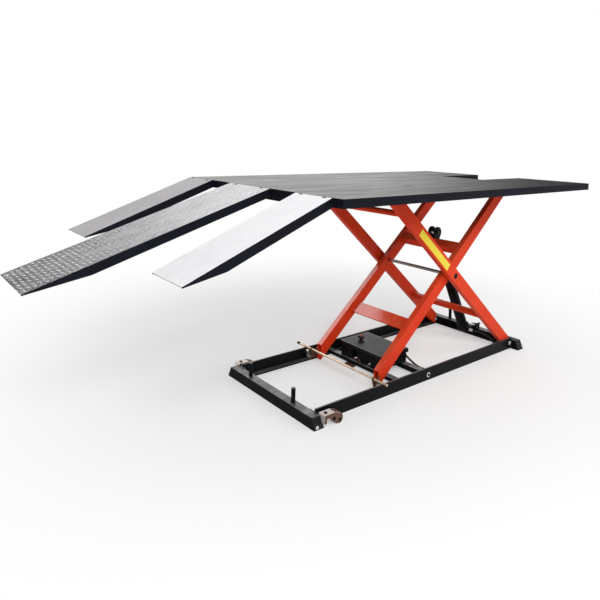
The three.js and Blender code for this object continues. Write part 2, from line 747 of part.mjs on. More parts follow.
function clevisPin() {
  const half = CLEVIS_GAP + CLEVIS_PLATE + SEAT;
  const head = (side) => barY(
    CLEVIS_PIN_HEAD,
    sideRange(side, half, half + CLEVIS_PIN_HEAD_HEIGHT),
    CLEVIS_ALONG,
    CLEVIS_RISE,
  );
  return join(barY(CLEVIS_PIN_RADIUS, [-half, half], CLEVIS_ALONG, CLEVIS_RISE), head(-1), head(1));
}

function buildOuterLegs(legs) {
  for (const [name, side] of [['near', -1], ['far', 1]]) {
    addPart(legs, `outer_leg_${name}`, outerLeg(side), RED);
    const wheel = new THREE.Group();
    wheel.position.set(-LEG_ABOVE, side > 0 ? deckRollerY : -deckRollerY - ROLLER_WIDTH, PIVOT_RISE);
    addPart(wheel, `deck_roller_${name}`, roller(), STEEL);
    legs.add(wheel);
  }
  addPart(legs, 'centre_shaft', centreShaft(), STEEL);
  const half = outerLegY - SEAT;
  const lower = new THREE.Group();
  lower.position.set(LOWER_TUBE_ALONG, 0, -LOWER_TUBE_DROP);
  addPart(lower, 'outer_tube_lower', roundTube(LOWER_TUBE_RADIUS, half), RED);
  const upper = new THREE.Group();
  upper.position.set(UPPER_TUBE_ALONG, 0, 0);
  addPart(upper, 'outer_tube_upper', roundTube(UPPER_TUBE_RADIUS, half), RED);
  legs.add(lower, upper);
}

function buildInnerLegs(legs) {
  const barDX = lockBarX - (centreX - LEG_BELOW * cosLeg);
  const barDZ = railTop + LOCK_BAR_LIFT + LOCK_BAR_RADIUS - pivotZ;
  const barX = -LEG_BELOW + barDX * cosLeg + barDZ * sinLeg;
  const barZ = -barDX * sinLeg + barDZ * cosLeg;
  const half = innerLegY - SEAT;
  for (const [name, side] of [['near', -1], ['far', 1]]) {
    addPart(legs, `inner_leg_${name}`, innerLeg(side), RED);
    addPart(legs, `foot_bracket_${name}`, footBracket(side, barX, barZ), RED);
    const wheel = new THREE.Group();
    wheel.position.set(-LEG_BELOW, side > 0 ? baseRollerY : -baseRollerY - ROLLER_WIDTH, 0);
    addPart(wheel, `base_roller_${name}`, roller(), STEEL);
    legs.add(wheel);
  }
  const plateX = [STEP_PLATE_ALONG - STEP_PLATE_WIDTH / 2, STEP_PLATE_ALONG + STEP_PLATE_WIDTH / 2];
  const plateZ = [-STEP_PLATE_THICKNESS / 2, STEP_PLATE_THICKNESS / 2];
  addPart(legs, 'inner_cross_plate', block(plateX, [-half, half], plateZ), RED);
  addPart(legs, 'inner_beam', beam(), RED);
  addPart(legs, 'clevis', clevis(), BLACK);
  addPart(legs, 'clevis_pin', clevisPin(), STEEL);
  const bar = new THREE.Group();
  bar.position.set(barX, 0, barZ);
  const tip = [lockBarFar, lockBarFar + LOCK_BAR_TIP_LENGTH];
  const lockBar = join(
    barY(LOCK_BAR_RADIUS, [-lockBarNear, lockBarFar]),
    barY(LOCK_BAR_TIP_RADIUS, tip),
  );
  addPart(bar, 'lock_bar', lockBar, BRASS_ZINC);
  legs.add(bar);
}

// Lifting cylinder, drawn along X from the lug at the origin to the clevis
function barrel() {
  const rodBore = (ROD_RADIUS + FIT) / Math.cos(Math.PI / ROUND_SIDES);
  const shell = turnedX([
    [0, BARREL_START],
    [BARREL_RADIUS, BARREL_START],
    [BARREL_RADIUS, BARREL_END - GLAND_LENGTH / 2],
    [GLAND_RADIUS, BARREL_END - GLAND_LENGTH / 2],
    [GLAND_RADIUS, BARREL_END],
    [rodBore, BARREL_END],
    [rodBore, BARREL_END - GLAND_LENGTH],
    [BARREL_BORE_RADIUS, BARREL_END - GLAND_LENGTH],
    [BARREL_BORE_RADIUS, BARREL_START + BARREL_FLOOR],
    [0, BARREL_START + BARREL_FLOOR],
  ]);
  const eyeHalf = BARREL_EYE_WIDTH / 2;
  const eye = barY(BARREL_EYE_RADIUS, [-eyeHalf, eyeHalf]);
  const neck = block([0, BARREL_START + BARREL_FLOOR / 2], [-eyeHalf, eyeHalf], [-BARREL_EYE_RADIUS, BARREL_EYE_RADIUS]);
  return join(shell, eye, neck);
}

function pistonRod(length) {
  const pistonRadius = (BARREL_BORE_RADIUS - FIT) * Math.cos(Math.PI / ROUND_SIDES);
  const start = length - ROD_LENGTH;
  const shank = turnedX([
    [0, start],
    [pistonRadius, start],
    [pistonRadius, start + PISTON_LENGTH],
    [ROD_RADIUS, start + PISTON_LENGTH],
    [ROD_RADIUS, length],
    [0, length],
  ]);
  const eyeRange = [-ROD_EYE_WIDTH / 2, ROD_EYE_WIDTH / 2];
  const bore = boreY(CLEVIS_PIN_RADIUS, [eyeRange[0] - OVERRUN, eyeRange[1] + OVERRUN], length, 0);
  return cut(join(shank, barY(ROD_EYE_RADIUS, eyeRange, length, 0)), bore);
}

function buildCylinder(base) {
  const topX = centreX + CLEVIS_ALONG * cosLeg - CLEVIS_RISE * sinLeg;
  const topZ = centreZ + CLEVIS_ALONG * sinLeg + CLEVIS_RISE * cosLeg;
  const cylinder = new THREE.Group();
  cylinder.position.set(lugX, 0, LUG_Z);
  cylinder.rotation.y = -Math.atan2(topZ - LUG_Z, topX - lugX);
  const length = Math.hypot(topX - lugX, topZ - LUG_Z);
  addPart(cylinder, 'cylinder_barrel', barrel(), BLACK);
  addPart(cylinder, 'piston_rod', pistonRod(length), STEEL);
  base.add(cylinder);
}

// Deck, drawn with its hinge pin at the origin

const deckFront = -deckPivotX - DECK_FRONT_OVERHANG;
const deckRear = deckFront + DECK_LENGTH;

// A folded tray, open below
function tray(x, y) {
  return cut(
    block(x, y, [deckTop - DECK_EDGE, deckTop]),
    block(
      [x[0] + DECK_EDGE_WALL, x[1] - DECK_EDGE_WALL],
      [y[0] + DECK_EDGE_WALL, y[1] - DECK_EDGE_WALL],
      [deckTop - DECK_EDGE - OVERRUN, deckTop - DECK_SHEET],
    ),
  );
}

// Knuckles on the deck's front edge for one ramp
function deckKnuckles(ramp) {
  const axisX = deckFront - KNUCKLE_RADIUS - SEAT;
  const axisZ = deckTop - KNUCKLE_RADIUS;
  const knuckles = [-1, 1].map((side) => {
    const y = ramp.y + side * ramp.width * KNUCKLE_PLACE_SHARE;
    const range = [y - KNUCKLE_WIDTH / 2, y + KNUCKLE_WIDTH / 2];
    const web = block([axisX, deckFront + DECK_EDGE_WALL / 2], range, [axisZ - KNUCKLE_RADIUS, axisZ + KNUCKLE_RADIUS]);
    const bore = boreY(RAMP_PIN_RADIUS, [range[0] - OVERRUN, range[1] + OVERRUN], axisX, axisZ);
    return cut(join(barY(KNUCKLE_RADIUS, range, axisX, axisZ), web), bore);
  });
  return join(...knuckles);
}

function deckCentre() {
  const half = deckCentreWidth / 2 - SEAT;
  const slotX = deckRear - WHEEL_SLOT_LENGTH;
  const slotHalf = wheelSlotWidth / 2;
  const wall = DECK_EDGE_WALL;
  const edge = [deckTop - DECK_EDGE, deckTop];
  const slotRim = block([slotX - wall, deckRear], [-slotHalf - wall, slotHalf + wall], edge);
  const slot = block(
    [slotX, deckRear + OVERRUN],
    [-slotHalf, slotHalf],
    [deckTop - DECK_EDGE - OVERRUN, deckTop + OVERRUN],
  );
  const sheetOnly = [deckTop - DECK_SHEET - SEAT, deckTop + OVERRUN];
  const fixings = DECK_SLOTS.map(({ fromFront, fromSide, length, width }) => {
    const x = deckFront + fromFront;
    const y = fromSide - deckCentreWidth / 2;
    return block([x - length / 2, x + length / 2], [y - width / 2, y + width / 2], sheetOnly);
  });
  const body = join(tray([deckFront, deckRear], [-half, half]), slotRim);
  return join(cut(body, slot, ...fixings), deckKnuckles(RAMPS.centre));
}

function deckSide(side, ramp) {
  const from = deckCentreWidth / 2;
  return join(tray([deckFront, deckRear], sideRange(side, from, from + DECK_SIDE_WIDTH)), deckKnuckles(ramp));
}

// How far ahead of the hinge pin a deck roller stands
function rollerReach(angle) {
  return 2 * (LEG_ABOVE * Math.cos(angle) - PIVOT_RISE * Math.sin(angle));
}

// The channel that guides a deck roller
function rollerTrack(side) {
  const top = deckTop - DECK_SHEET - SEAT;
  const x = [-rollerReach(LOWERED_ANGLE) - TRACK_MARGIN, -rollerReach(RAISED_ANGLE) + TRACK_MARGIN];
  const inner = trackY + TRACK_PLATE;
  const outer = trackY + trackWidth - TRACK_PLATE;
  return cut(
    block(x, sideRange(side, trackY, trackY + trackWidth), [top - TRACK_PLATE - TRACK_LIP, top]),
    block(
      [x[0] - OVERRUN, x[1] + OVERRUN],
      sideRange(side, inner, outer),
      [top - TRACK_PLATE - TRACK_LIP - OVERRUN, top - TRACK_PLATE],
    ),
  );
}

// How far below its pin the deck rests on the stop posts when it is down
function stopPadFloor() {
  const lift = Math.atan2(PIVOT_RISE, LEG_ABOVE);
  const reach = Math.hypot(PIVOT_RISE, LEG_ABOVE);
  const pinZ = pivotZ + LEG_BELOW * Math.sin(LOWERED_ANGLE) + reach * Math.sin(LOWERED_ANGLE + lift);
  return POST_TOP + SEAT - pinZ;
}

function deckHinge(side) {
  const top = deckTop - DECK_SHEET - SEAT;
  const innerY = innerLegY - SEAT - HINGE_PLATE;
  const outerY = innerLegFar + SEAT;
  const shape = new THREE.Shape();
  shape.absarc(0, 0, HINGE_RADIUS, Math.PI, 2 * Math.PI, false);
  shape.lineTo(HINGE_FRONT, top);
  shape.lineTo(-HINGE_FRONT, top);
  const padX = rearCrossbarX + CROSSBAR_FOOT - CROSSBAR_LEAN - POST_INSET - STOP_PAD / 2 - deckPivotX;
  const floor = stopPadFloor();
  const padY = [wheelSlotWidth / 2 + DECK_EDGE_WALL + SEAT, innerY + HINGE_PLATE];
  const pad = cut(
    block([padX, padX + STOP_PAD], sideRange(side, ...padY), [floor, top]),
    block(
      [padX - OVERRUN, padX + STOP_PAD + OVERRUN],
      sideRange(side, padY[0] + HINGE_PLATE, padY[1] - HINGE_PLATE),
      [floor + HINGE_PLATE, top - HINGE_PLATE],
    ),
  );
  const through = sideRange(side, innerY - OVERRUN, outerY + HINGE_PLATE + OVERRUN);
  const cheeks = join(
    across(shape, sideRange(side, innerY, innerY + HINGE_PLATE)),
    across(shape, sideRange(side, outerY, outerY + HINGE_PLATE)),
    block([-HINGE_FRONT, HINGE_FRONT], sideRange(side, innerY, outerY + HINGE_PLATE), [top - TRACK_PLATE, top]),
    block([0, padX + STOP_PAD], sideRange(side, innerY, innerY + HINGE_PLATE), [top - ROLLER_RADIUS / 2, top]),
  );
  return join(cut(cheeks, boreY(PIN_RADIUS, through)), pad);
}

function hingePin(side) {
  const innerY = innerLegY - 2 * SEAT - HINGE_PLATE;
  const outerY = innerLegFar + 2 * SEAT + HINGE_PLATE;
  return join(
    barY(PIN_RADIUS, sideRange(side, innerY, outerY)),
    barY(HINGE_PIN_HEAD, sideRange(side, innerY - HINGE_PIN_HEAD_HEIGHT, innerY)),
    barY(HINGE_PIN_HEAD, sideRange(side, outerY, outerY + HINGE_PIN_HEAD_HEIGHT)),
  );
}

// The channel under the front of the deck that lands on the front stop posts
function deckBearer() {
  const top = deckTop - DECK_SHEET - SEAT;
  const half = deckCentreWidth / 2 - 2 * SEAT - DECK_EDGE_WALL;
  const x = [POST_INSET - STOP_PAD / 2 - deckPivotX, POST_INSET + STOP_PAD / 2 - deckPivotX];
  const floor = stopPadFloor();
  return cut(
    block(x, [-half, half], [floor, top]),
    block(
      [x[0] + BEARER_WALL, x[1] - BEARER_WALL],
      [-half - OVERRUN, half + OVERRUN],
      [floor + BEARER_WALL, top - BEARER_WALL],
    ),
  );
}

// A ramp, drawn level behind its hinge pin: a sheet with a tapered flange down each side
function ramp({ width, length, slope, kink }) {
  const lean = THREE.MathUtils.degToRad(slope);
  const half = width / 2;
  const top = KNUCKLE_RADIUS;
  const bottom = top - RAMP_FLANGE;
  const stopX = (z) => (KNUCKLE_RADIUS - SEAT + z * Math.sin(lean)) / Math.cos(lean);
  const flangeShape = outline([
    [-length, top],
    [-length, top - RAMP_TIP],
    [-length + kink, bottom],
    [stopX(bottom), bottom],
    [stopX(-KNUCKLE_RADIUS), -KNUCKLE_RADIUS],
    [0, top],
  ]);
  const flange = (side) => across(flangeShape, sideRange(side, half - RAMP_FLANGE_WALL, half));
  const sheet = block([-length, 0], [-half, half], [top - RAMP_SHEET, top]);
  const knuckle = barY(KNUCKLE_RADIUS, [-half, half]);
  const gaps = [-1, 1].map((side) => {
    const y = side * width * KNUCKLE_PLACE_SHARE;
    const gap = KNUCKLE_WIDTH / 2 + SEAT;
    return block(
      [-KNUCKLE_RADIUS - SEAT, KNUCKLE_RADIUS + OVERRUN],
      [y - gap, y + gap],
      [-KNUCKLE_RADIUS - OVERRUN, KNUCKLE_RADIUS + OVERRUN],
    );
  });
  const pin = barY(RAMP_PIN_RADIUS, [-half, half]);
  return join(cut(join(sheet, flange(-1), flange(1), knuckle), ...gaps), pin);
}

function buildDeck(deck) {
  addPart(deck, 'deck_centre', deckCentre(), DECK_BLACK);
  addPart(deck, 'deck_side_near', deckSide(-1, RAMPS.near), DECK_BLACK);
  addPart(deck, 'deck_side_far', deckSide(1, RAMPS.far), DECK_BLACK);
  addPart(deck, 'deck_bearer', deckBearer(), BLACK);
  for (const [name, side] of [['near', -1], ['far', 1]]) {
    addPart(deck, `roller_track_${name}`, rollerTrack(side), BLACK);
    addPart(deck, `deck_hinge_${name}`, deckHinge(side), BLACK);
    addPart(deck, `hinge_pin_${name}`, hingePin(side), STEEL);
  }
  for (const [name, size] of Object.entries(RAMPS)) {
    const hung = new THREE.Group();
    hung.position.set(deckFront - KNUCKLE_RADIUS - SEAT, size.y, deckTop - KNUCKLE_RADIUS);
    hung.rotation.y = -THREE.MathUtils.degToRad(size.slope);
    addPart(hung, `ramp_${name}`, ramp(size), RAMP_GREY);
    deck.add(hung);
  }
}

// Foot pump

const pumpFront = frontBearerX;
const pumpRear = frontBearerX + PUMP_LENGTH;
const treadleX = (pumpFront + pumpRear) / 2;
const treadleZ = PUMP_TOP - TREADLE_PIVOT_DROP;

// The pump's body: a block and a leg under one top, standing on the two bearers, with the hose's outlet behind
function pumpBody() {
  const inset = TREADLE_SHEET + TREADLE_PLAY;
  const x = [pumpFront + inset, pumpRear - inset];
  const [near, far] = [PUMP_NEAR_Y + inset, PUMP_FAR_Y - inset];
  const top = PUMP_TOP - TREADLE_SHEET - TREADLE_CLEARANCE;
  const frontFloor = RAIL_WALL + SEAT + FRONT_BEARER_HEIGHT + SEAT;
  const floor = RAIL_WALL + SEAT + REAR_BEARER_HEIGHT + SEAT;
  const frontX = [x[0], frontBearerX + FRONT_BEARER_WIDTH];
  const leg = [near, near + PUMP_LEG_WIDTH];
  const [outletX, outletY, outletZ] = HOSE_AT_PUMP[0];
  const half = PUMP_OUTLET / 2;
  const body = join(
    block(x, [near, far], [PUMP_BRIDGE_FLOOR, top]),
    block(x, [PUMP_BLOCK_NEAR_Y, far], [floor, top]),
    block(x, leg, [floor, top]),
    block(frontX, leg, [frontFloor, top]),
    block(frontX, [far - PUMP_FAR_WALL, far], [frontFloor, top]),
    block([treadleX - PUMP_SADDLE / 2, treadleX + PUMP_SADDLE / 2], [near, far], [floor, treadleZ]),
    barY(TREADLE_PIN_RADIUS, [PUMP_NEAR_Y, PUMP_FAR_Y], treadleX, treadleZ),
    block(
      [x[1] - OVERRUN, pumpRear + outletX + half],
      [outletY + SEAT, outletY + SEAT + PUMP_OUTLET],
      [outletZ - half, outletZ + half],
    ),
  );
  return cut(body, block([x[0] - OVERRUN, x[0] + PUMP_RECESS_DEPTH], PUMP_RECESS_Y, [0, PUMP_RECESS_TOP]));
}

// The treadle: a shallow pan turned over the pump, drawn with its pivot at the origin
function treadle() {
  const half = PUMP_LENGTH / 2;
  const top = TREADLE_PIVOT_DROP;
  const floor = top - TREADLE_SKIRT;
  const inner = half - TREADLE_SHEET;
  const pan = cut(
    block([-half, half], [PUMP_NEAR_Y, PUMP_FAR_Y], [floor, top]),
    block(
      [-inner, inner],
      [PUMP_NEAR_Y + TREADLE_SHEET, PUMP_FAR_Y - TREADLE_SHEET],
      [floor - OVERRUN, top - TREADLE_SHEET],
    ),
  );
  const through = [PUMP_NEAR_Y - OVERRUN, PUMP_FAR_Y + OVERRUN];
  return cut(pan, boreY(TREADLE_PIN_RADIUS, through));
}

// A star knob on a stem, hollow for the button
function knob() {
  const points = Array.from({ length: KNOB_STEPS }, (_, step) => {
    const turn = (2 * Math.PI * step) / KNOB_STEPS;
    const radius = KNOB_RADIUS * (1 - (KNOB_LOBE_SHARE * (1 - Math.cos(KNOB_LOBES * turn))) / 2);
    return [radius * Math.cos(turn), radius * Math.sin(turn)];
  });
  const top = KNOB_STEM_HEIGHT + KNOB_HEIGHT;
  const stem = turnedZ([[0, 0], [KNOB_STEM_RADIUS, 0], [KNOB_STEM_RADIUS, top / 2], [0, top / 2]]);
  const well = BUTTON_RADIUS + BUTTON_PLAY;
  const wellFloor = top - BUTTON_HEIGHT;
  const bore = turnedZ([[0, wellFloor], [well, wellFloor], [well, top + OVERRUN], [0, top + OVERRUN]]);
  return cut(join(upright(outline(points), [KNOB_STEM_HEIGHT, top]), stem), bore);
}

function knobButton() {
  const floor = KNOB_STEM_HEIGHT + KNOB_HEIGHT - BUTTON_HEIGHT + BUTTON_TRAVEL + SEAT;
  const top = floor + BUTTON_HEIGHT;
  return turnedZ([
    [0, floor],
    [BUTTON_RADIUS, floor],
    [BUTTON_RADIUS, top - BUTTON_DOME],
    [BUTTON_RADIUS - BUTTON_DOME, top],
    [0, top],
  ]);
}

function hose() {
  const placed = (route, fromX, fromY) => route.map(([x, y, z]) => new THREE.Vector3(fromX + x, fromY + y, z));
  const points = [
    ...placed(HOSE_AT_PUMP, pumpRear, 0),
    ...placed(HOSE_PUMP_TO_RAIL, pumpRear, -halfBase),
    ...placed(HOSE_RAIL_TO_LUG, lugX, -halfBase),
    ...placed(HOSE_AT_LUG, lugX, 0),
  ];
  const section = outline(Array.from({ length: HOSE_SIDES }, (_, side) => {
    const turn = (2 * Math.PI * side) / HOSE_SIDES;
    return [HOSE_RADIUS * Math.cos(turn), HOSE_RADIUS * Math.sin(turn)];
  }));
  const extrudePath = new THREE.CatmullRomCurve3(points);
  return solid(new THREE.ExtrudeGeometry(section, { steps: HOSE_STEPS, extrudePath, bevelEnabled: false }));
}

function buildPump(base) {
  addPart(base, 'pump_body', pumpBody(), BLACK);
  addPart(base, 'pump_hose', hose(), RUBBER);
  const rocker = new THREE.Group();
  rocker.position.set(treadleX, 0, treadleZ);
  addPart(rocker, 'treadle', treadle(), DECK_BLACK);
  const turning = new THREE.Group();
  turning.position.set(pumpFront + KNOB_INSET - treadleX, KNOB_Y, TREADLE_PIVOT_DROP + SEAT);
  addPart(turning, 'release_knob', knob(), BLACK);
  addPart(turning, 'knob_button', knobButton(), BUTTON_RED);
  rocker.add(turning);
  base.add(rocker);
}

// Release pedal

function pedalBracket() {
  const seatZ = CROSSBAR_HEIGHT + SEAT;
  const inner = PEDAL_WIDTH / 2 + SEAT;
  const outer = inner + PEDAL_CHEEK;
  const cheek = (range) => join(
    across(outline([
      [pedalPivotX - PEDAL_EYE_RADIUS, seatZ],
      [pedalPivotX + PEDAL_EYE_RADIUS, seatZ],
      [pedalPivotX + PEDAL_EYE_RADIUS, PEDAL_PIVOT_Z],
      [pedalPivotX - PEDAL_EYE_RADIUS, PEDAL_PIVOT_Z],
    ]), range),
    barY(PEDAL_EYE_RADIUS, range, pedalPivotX, PEDAL_PIVOT_Z),
  );
  const whole = [PEDAL_Y - outer, PEDAL_Y + outer];
  const pinRange = [whole[0] - PEDAL_CHEEK / 2, whole[1] + PEDAL_CHEEK / 2];
  return join(
    cheek([PEDAL_Y - outer, PEDAL_Y - inner]),
    cheek([PEDAL_Y + inner, PEDAL_Y + outer]),
    block([pedalPivotX - PEDAL_EYE_RADIUS, pedalPivotX + PEDAL_EYE_RADIUS], whole, [seatZ, seatZ + PEDAL_CHEEK]),
    barY(PEDAL_PIN_RADIUS, pinRange, pedalPivotX, PEDAL_PIVOT_Z),
  );
}

function pedal() {
  const range = [-PEDAL_WIDTH / 2, PEDAL_WIDTH / 2];
  const bar = join(
    linkPlate(0, 0, PEDAL_EYE_RADIUS, -PEDAL_FRONT, PEDAL_FRONT_RISE, PEDAL_TIP_RADIUS, range),
    linkPlate(0, 0, PEDAL_EYE_RADIUS, PEDAL_REAR, PEDAL_REAR_RISE, PEDAL_TIP_RADIUS, range),
  );
  return cut(bar, boreY(PEDAL_PIN_RADIUS, [range[0] - OVERRUN, range[1] + OVERRUN]));
}

function buildPedal(base) {
  addPart(base, 'pedal_bracket', pedalBracket(), BLACK);
  const lever = new THREE.Group();
  lever.position.set(pedalPivotX, PEDAL_Y, PEDAL_PIVOT_Z);
  addPart(lever, 'release_pedal', pedal(), BLACK);
  base.add(lever);
}

// The whole lift, with the middle of its footprint at the origin
const base = new THREE.Group();
buildBase(base);
const outerLegs = new THREE.Group();
outerLegs.position.set(centreX, 0, centreZ);
outerLegs.rotation.y = RAISED_ANGLE;
buildOuterLegs(outerLegs);
const innerLegs = new THREE.Group();
innerLegs.position.set(centreX, 0, centreZ);
innerLegs.rotation.y = -RAISED_ANGLE;
buildInnerLegs(innerLegs);
const deck = new THREE.Group();
deck.position.set(deckPivotX, 0, deckPivotZ);
buildDeck(deck);
buildCylinder(base);
buildPump(base);
buildPedal(base);
base.add(outerLegs, innerLegs, deck);

const lift = new THREE.Group();
lift.add(base);
const bounds = new THREE.Box3().setFromObject(lift, true);
base.position.set(-(bounds.min.x + bounds.max.x) / 2, -(bounds.min.y + bounds.max.y) / 2, -bounds.min.z);

export default lift;
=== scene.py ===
# %% [markdown]
# # A motorcycle lift
# The lift comes in as a finished frame of steel parts: base, crossed legs, deck and ramps.
# This lesson gives every part its rounded edges, its paint or plating and its small
# fittings, and then sets it under soft light. We start with the frame and its size.

# %% The frame
import json
import math

import bmesh
import bpy
from mathutils import Matrix, Vector


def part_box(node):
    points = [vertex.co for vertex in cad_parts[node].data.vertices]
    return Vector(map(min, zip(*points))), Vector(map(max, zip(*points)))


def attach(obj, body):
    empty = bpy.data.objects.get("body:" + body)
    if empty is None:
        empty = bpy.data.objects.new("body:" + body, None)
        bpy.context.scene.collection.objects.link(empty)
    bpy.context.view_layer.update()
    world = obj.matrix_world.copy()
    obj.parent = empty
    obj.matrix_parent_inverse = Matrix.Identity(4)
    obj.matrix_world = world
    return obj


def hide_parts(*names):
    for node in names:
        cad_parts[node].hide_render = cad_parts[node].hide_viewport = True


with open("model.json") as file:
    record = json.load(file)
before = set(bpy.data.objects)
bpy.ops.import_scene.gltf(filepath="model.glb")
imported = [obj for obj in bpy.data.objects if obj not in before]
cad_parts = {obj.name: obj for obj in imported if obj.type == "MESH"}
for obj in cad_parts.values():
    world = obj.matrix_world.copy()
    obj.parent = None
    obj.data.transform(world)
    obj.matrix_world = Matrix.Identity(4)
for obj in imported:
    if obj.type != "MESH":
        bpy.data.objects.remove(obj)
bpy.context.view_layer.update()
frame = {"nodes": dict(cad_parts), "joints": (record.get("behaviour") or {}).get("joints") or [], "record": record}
BODY_OF = {node: body for body, nodes in frame["record"]["behaviour"]["bodies"].items() for node in nodes}
HINGE = {joint["name"]: Vector(joint["pos_m"]) for joint in frame["joints"]}
MM = 0.001
SIGN = {"near": -1, "far": 1}  # which way along Y each side lies


def middle(node):
    """Middle and size of a part's box."""
    low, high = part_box(node)
    return (low + high) / 2, high - low


def face_y(node, sign):
    """Y of a part's far face (sign 1) or near face (-1)."""
    low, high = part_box(node)
    return high.y if sign > 0 else low.y


# %% [markdown]
# ## The camera
# The picture was taken from the ramp end, a little above the deck and slightly rolled.
# A camera matrix can be written straight from its heading, dip, roll and place. That is
# steadier than aiming the camera at a target and adding the roll afterwards. The lens is
# shifted as well, because the picture's middle is not where the camera points.

# %% The camera
HEADING, DIP, ROLL = 0.630, 0.051, 0.026  # radians
CAMERA_PLACE = Vector((-2.1338, -2.1538, 1.3485))
SENSOR_WIDTH, LENS = 36, 32.91  # mm
LENS_SHIFT = (0.0817, -0.2252)

ahead = Vector((math.sin(HEADING) * math.cos(DIP), math.cos(HEADING) * math.cos(DIP), -math.sin(DIP)))
right = Vector((math.cos(HEADING), -math.sin(HEADING), 0))
up = right.cross(ahead)
across = right * math.cos(ROLL) + up * math.sin(ROLL)
upward = up * math.cos(ROLL) - right * math.sin(ROLL)
camera = bpy.data.objects.new("camera", bpy.data.cameras.new("camera"))
bpy.context.scene.collection.objects.link(camera)
turned_to = Matrix((across, upward, -ahead)).transposed().to_4x4()
camera.matrix_world = Matrix.Translation(CAMERA_PLACE) @ turned_to
camera.data.sensor_width, camera.data.lens = SENSOR_WIDTH, LENS
camera.data.shift_x, camera.data.shift_y = LENS_SHIFT
bpy.context.scene.camera = camera

# %% [markdown]
# ## Colours and shader maths
# Paint charts give colours as 0 to 255, while a shader wants them linear, so one helper
# converts them. Shader sums are easier to read as sums, so a small class wraps a socket
# and turns +, - and * into Math nodes.

# %% Shader maths
def shade(colour):
    """A paint-chart colour as a linear one, by the sRGB curve."""
    def linear(value):
        value /= 255
        return value / 12.92 if value <= 0.04045 else ((value + 0.055) / 1.055) ** 2.4
    return (*(linear(value) for value in colour), 1)


class Flow:
    """A socket that can take part in sums."""

    def __init__(self, maths, socket):
        self.maths, self.socket = maths, socket

    def sum(self, operation, *values, clamp=False):
        return self.maths.node("ShaderNodeMath", {"operation": operation, "use_clamp": clamp}, *values)

    def __add__(self, other): return self.sum("ADD", self, other)
    def __sub__(self, other): return self.sum("SUBTRACT", self, other)
    def __rsub__(self, other): return self.sum("SUBTRACT", other, self)
    def __mul__(self, other): return self.sum("MULTIPLY", self, other)
    def clamp(self): return self.sum("ADD", self, 0, clamp=True)


class Maths:
    """Nodes of a material or a sky, added by their type, settings and values."""

    def __init__(self, tree):
        self.tree = tree

    def node(self, kind, settings, *values, output=0, **named):
        """Add a node: values feed its first inputs, named ones the inputs of that name."""
        node = self.tree.nodes.new(kind)
        for key, value in settings.items():
            setattr(node, key, value)
        sockets = list(enumerate(values)) + [(key.replace("_", " "), value) for key, value in named.items()]
        for key, value in sockets:
            self.put(node.inputs[key], value)
        return Flow(self, node.outputs[output])

    def put(self, socket, value):
        if isinstance(value, Flow):
            self.tree.links.new(value.socket, socket)
        else:
            socket.default_value = value

    def between(self, value, low, high, start=0.0, end=1.0):
        """start below low and end above high, with a soft step between them."""
        return self.node("ShaderNodeMapRange", {"interpolation_type": "SMOOTHSTEP"}, Value=value,
                         From_Min=low, From_Max=high, To_Min=start, To_Max=end)


class Finish(Maths):
    """A material with one Principled shader, built node by node."""

    def __init__(self, name, **constants):
        self.material = bpy.data.materials.new(name)
        self.material.use_nodes = True
        super().__init__(self.material.node_tree)
        self.shader = self.tree.nodes["Principled BSDF"]
        for socket, value in constants.items():
            self.shader.inputs[socket.replace("_", " ")].default_value = value

    def set(self, **sockets):
        for name, value in sockets.items():
            self.put(self.shader.inputs[name.replace("_", " ")], value)
        return self.material

    def place(self):
        return self.node("ShaderNodeTexCoord", {}, output="Object")

    def upward(self):
        """How far a face points up, from -1 to 1."""
        facing = self.node("ShaderNodeTexCoord", {}, output="Normal")
        return self.node("ShaderNodeSeparateXYZ", {}, facing, output="Z")

    def stretched(self, x, y, z):
        """The place, scaled along each axis: a small number makes noise long that way."""
        return self.node("ShaderNodeMapping", {}, Vector=self.place(), Scale=(x, y, z))

    def noise(self, scale, detail=3.0, roughness=0.55, vector=None):
        return self.node("ShaderNodeTexNoise", {}, Vector=vector or self.place(), Scale=scale,
                         Detail=detail, Roughness=roughness)

    def mix(self, factor, first, second):
        node = self.tree.nodes.new("ShaderNodeMix")
        node.data_type = "RGBA"
        for key, value in (("Factor_Float", factor), ("A_Color", first), ("B_Color", second)):
            socket = next(s for s in node.inputs if s.identifier == key)
            self.put(socket, value)
        return Flow(self, next(s for s in node.outputs if s.identifier == "Result_Color"))

    def bump(self, height, strength, distance):
        return self.node("ShaderNodeBump", {}, Strength=strength, Distance=distance, Height=height)

# %% [markdown]
# ## Paint on the legs
# The legs are sprayed orange red over steel tube. Real spray paint is never one colour:
# it is thinner and paler along the run of the tube, has a faint orange-peel skin and
# gathers dust. Noise at several scales gives those. A clear coat gives the wet gloss.
# The gloss is strongest on faces that point up, and these faces are also made paler,
# partly with dust and partly with a painted sheen, so both follow the normal.

# %% Leg paint
DUST_AND_SHEEN_GREY = (170, 168, 170)


